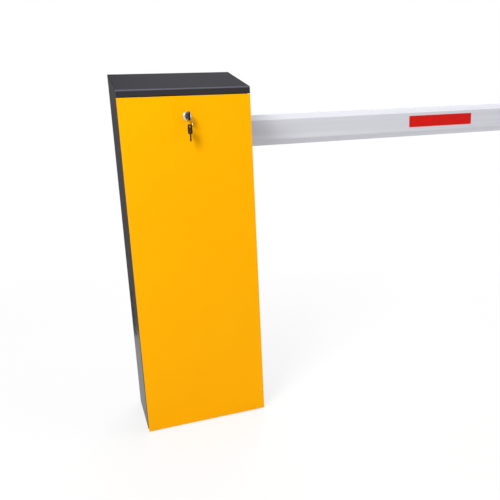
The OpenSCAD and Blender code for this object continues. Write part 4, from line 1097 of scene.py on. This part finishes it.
place("lock_body_piece", turned(lock_profile(), lock_z), ["lock_body"])
print("lock head:", round(2000 * HEAD_R, 1), "mm")

# %% [markdown]
# ## Keys
# Each key is a flat cut blade with a moulded black head. The head is a rounded tablet with a hollow for
# the thumb and a slot for the ring; the blade has saw cuts along one edge. The same builder makes both
# keys in their own plane, and a matrix takes them to the lock and to the ring. Blade and head have the
# same finish here.

# %% Key builder
KEY_T = 0.005
KEY_LEN = 0.025
KEY_H = 0.022
KEY_FROM_HOLE = 0.006
KEY_HOLE_R = 0.003
KEY_SLOT = 0.011
BLADE_T = 0.002
BLADE_H = 0.007
KEY_CORNER = 0.005
KEY_EDGE = 0.0012
SMALLEST_CORNER = 0.0005
HOLLOW_Y = 0.0105
HOLLOW_HALF_Y, HOLLOW_HALF_Z = 0.0065, 0.0070
HOLLOW_DEPTH = 0.0009
BLADE_IN_HEAD = 0.002
TIP_BREAK, TIP_SLOPE = 0.002, 0.003
SAW_CUTS = [0.0, 0.0018, 0.0008, 0.0024, 0.0012, 0.0020, 0.0006]
CUTS_FROM, CUTS_SHORTER = 0.003, 0.006
CUT_START, CUT_END = 0.15, 0.55


def head_outline(inset, steps=8):
    """Round corners of the head's outline, with as many points along each side between them."""
    low_y, high_y = -KEY_FROM_HOLE + inset, KEY_LEN - KEY_FROM_HOLE - inset
    low_z, high_z = -KEY_H / 2 + inset, KEY_H / 2 - inset
    r = max(KEY_CORNER - inset, SMALLEST_CORNER)
    corners = [(high_y - r, high_z - r, 0), (low_y + r, high_z - r, 90),
               (low_y + r, low_z + r, 180), (high_y - r, low_z + r, 270)]
    arcs = []
    for y, z, start in corners:
        angles = [math.radians(start + 90 * k / steps) for k in range(steps + 1)]
        arcs.append([Vector((y + r * math.cos(angle), z + r * math.sin(angle))) for angle in angles])
    points = []
    for arc, after in zip(arcs, arcs[1:] + arcs[:1]):
        points += arc + [arc[-1].lerp(after[0], k / steps) for k in range(1, steps)]
    return points


def slot_rim(point):
    """The point of the slot's rim that lies towards a point of the outline."""
    middle = Vector((0.0, min(max(point.y, -KEY_SLOT / 2), KEY_SLOT / 2)))
    return middle + KEY_HOLE_R * (point - middle).normalized()


def tablet_face(x, outline, count):
    """Points from the slot's rim to the outline, ring by ring."""
    rings = []
    for share in range(count + 1):
        rings.append([(x, *slot_rim(point).lerp(point, share / count)) for point in outline])
    return rings


def thumb_hollow(point):
    """How deep the round hollow for the thumb is at a point of the head's face."""
    y, z = point[1] - HOLLOW_Y, point[2]
    away = (y / HOLLOW_HALF_Y) ** 2 + (z / HOLLOW_HALF_Z) ** 2
    return HOLLOW_DEPTH * max(0.0, 1 - away) ** 0.5


def key_head():
    """A moulded tablet with round edges, hollow sides and a slot, as one closed skin."""
    loops = []
    half = KEY_T / 2
    edge = KEY_EDGE
    for ring in tablet_face(half, head_outline(edge), 10):
        loops.append([(p[0] - thumb_hollow(p), p[1], p[2]) for p in ring])
    for angle in (30, 60, 90):
        turn = math.radians(angle)
        outline = head_outline(edge - edge * math.sin(turn))
        loops.append([(half - edge + edge * math.cos(turn), y, z) for y, z in outline])
    mirrored = [[(-x, y, z) for x, y, z in loop] for loop in reversed(loops)]
    return loops + mirrored


def add_skin(work, loops):
    rings = [[work.verts.new(p) for p in loop] for loop in loops]
    count = len(rings[0])
    for i, ring in enumerate(rings):
        after = rings[(i + 1) % len(rings)]
        for k in range(count):
            work.faces.new((ring[k], ring[(k + 1) % count], after[(k + 1) % count], after[k]))


def add_blade(work, tip):
    """A flat blade with saw cuts on one edge, extruded to its thickness."""
    start = KEY_LEN - KEY_FROM_HOLE - BLADE_IN_HEAD
    pitch = (tip - start - CUTS_SHORTER) / len(SAW_CUTS)
    half = BLADE_H / 2
    lower = [(start, -half), (tip - TIP_BREAK, -half), (tip, -half + TIP_BREAK), (tip, half - TIP_SLOPE)]
    upper = []
    for i, cut in enumerate(SAW_CUTS):
        y = start + CUTS_FROM + i * pitch
        upper += [(y + pitch * CUT_START, half - cut), (y + pitch * CUT_END, half - cut)]
    outline = lower + [(tip - TIP_BREAK, half)] + upper[::-1] + [(start, half)]
    sides = [[work.verts.new((x, y, z)) for y, z in outline] for x in (-BLADE_T / 2, BLADE_T / 2)]
    work.faces.new(sides[0][::-1])
    work.faces.new(sides[1])
    for k in range(len(outline)):
        after = (k + 1) % len(outline)
        work.faces.new((sides[0][k], sides[0][after], sides[1][after], sides[1][k]))


def key_mesh(tip, matrix):
    work = bmesh.new()
    add_skin(work, key_head())
    bmesh.ops.recalc_face_normals(work, faces=work.faces)
    head_faces = len(work.faces)
    add_blade(work, tip)
    bmesh.ops.recalc_face_normals(work, faces=work.faces)
    for i, face in enumerate(work.faces):
        face.smooth = i < head_faces
    bmesh.ops.transform(work, matrix=matrix, verts=work.verts)
    mesh = bpy.data.meshes.new("key")
    work.to_mesh(mesh)
    work.free()
    return mesh


# %% Key in the lock and spare key on the ring
key_low, key_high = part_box("key")
spare_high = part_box("spare_key")[1]
hole_y = key_low[1] + KEY_FROM_HOLE
BLADE_TIP = key_high[1] - hole_y
SPARE_TURN = math.radians(10)
spare_hole_z = spare_high[2] - KEY_FROM_HOLE
in_lock = Matrix.Translation((0.0, hole_y, lock_z))
hanging = Matrix.Rotation(SPARE_TURN, 4, "Z") @ Matrix.Rotation(math.radians(-90), 4, "X")
on_ring = Matrix.Translation((0.0, hole_y, spare_hole_z)) @ hanging
for node, matrix in (("key", in_lock), ("spare_key", on_ring)):
    place(node + "_piece", key_mesh(BLADE_TIP, matrix), [node])
print("keys: blade", round(1000 * BLADE_TIP, 1), "mm from the hole")

# %% [markdown]
# ## The rest of the mechanism
# What is left are turned, welded and cast parts inside the cabinet. Their solids are right, so each is
# a merged copy with broken edges; castings and mouldings get softer edges than machined steel. The
# motor's fins stand close together, so only its outer edges are rounded.

# %% Inner parts
SOFT_EDGES = {
    "gearbox": 0.0006, "motor_terminal_box": 0.0008, "control_box": 0.0004, "control_lid": 0.0015,
    "shaft_housing": 0.0004, "shaft_lever": 0.0004, "crank_arm": 0.0012, "boom_clamp_plate": 0.0004,
    "boom": 0.0008, "boom_caps": 0.0008, "rod_ends": 0.0004, "stop_buffers": 0.0012, "door_seals": 0.0008,
    "cable_grommet": 0.0010, "fan_cover": 0.0006, "base_plate": 0.0004,
}
dressed = {node for obj in made for node in obj.get("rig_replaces", [])}
for node in sorted(set(frame["nodes"]) - dressed):
    soften(node, SOFT_EDGES.get(node, FINE_EDGE), outer_only=node == "motor")
print("inner parts:", len(made), "pieces in all")
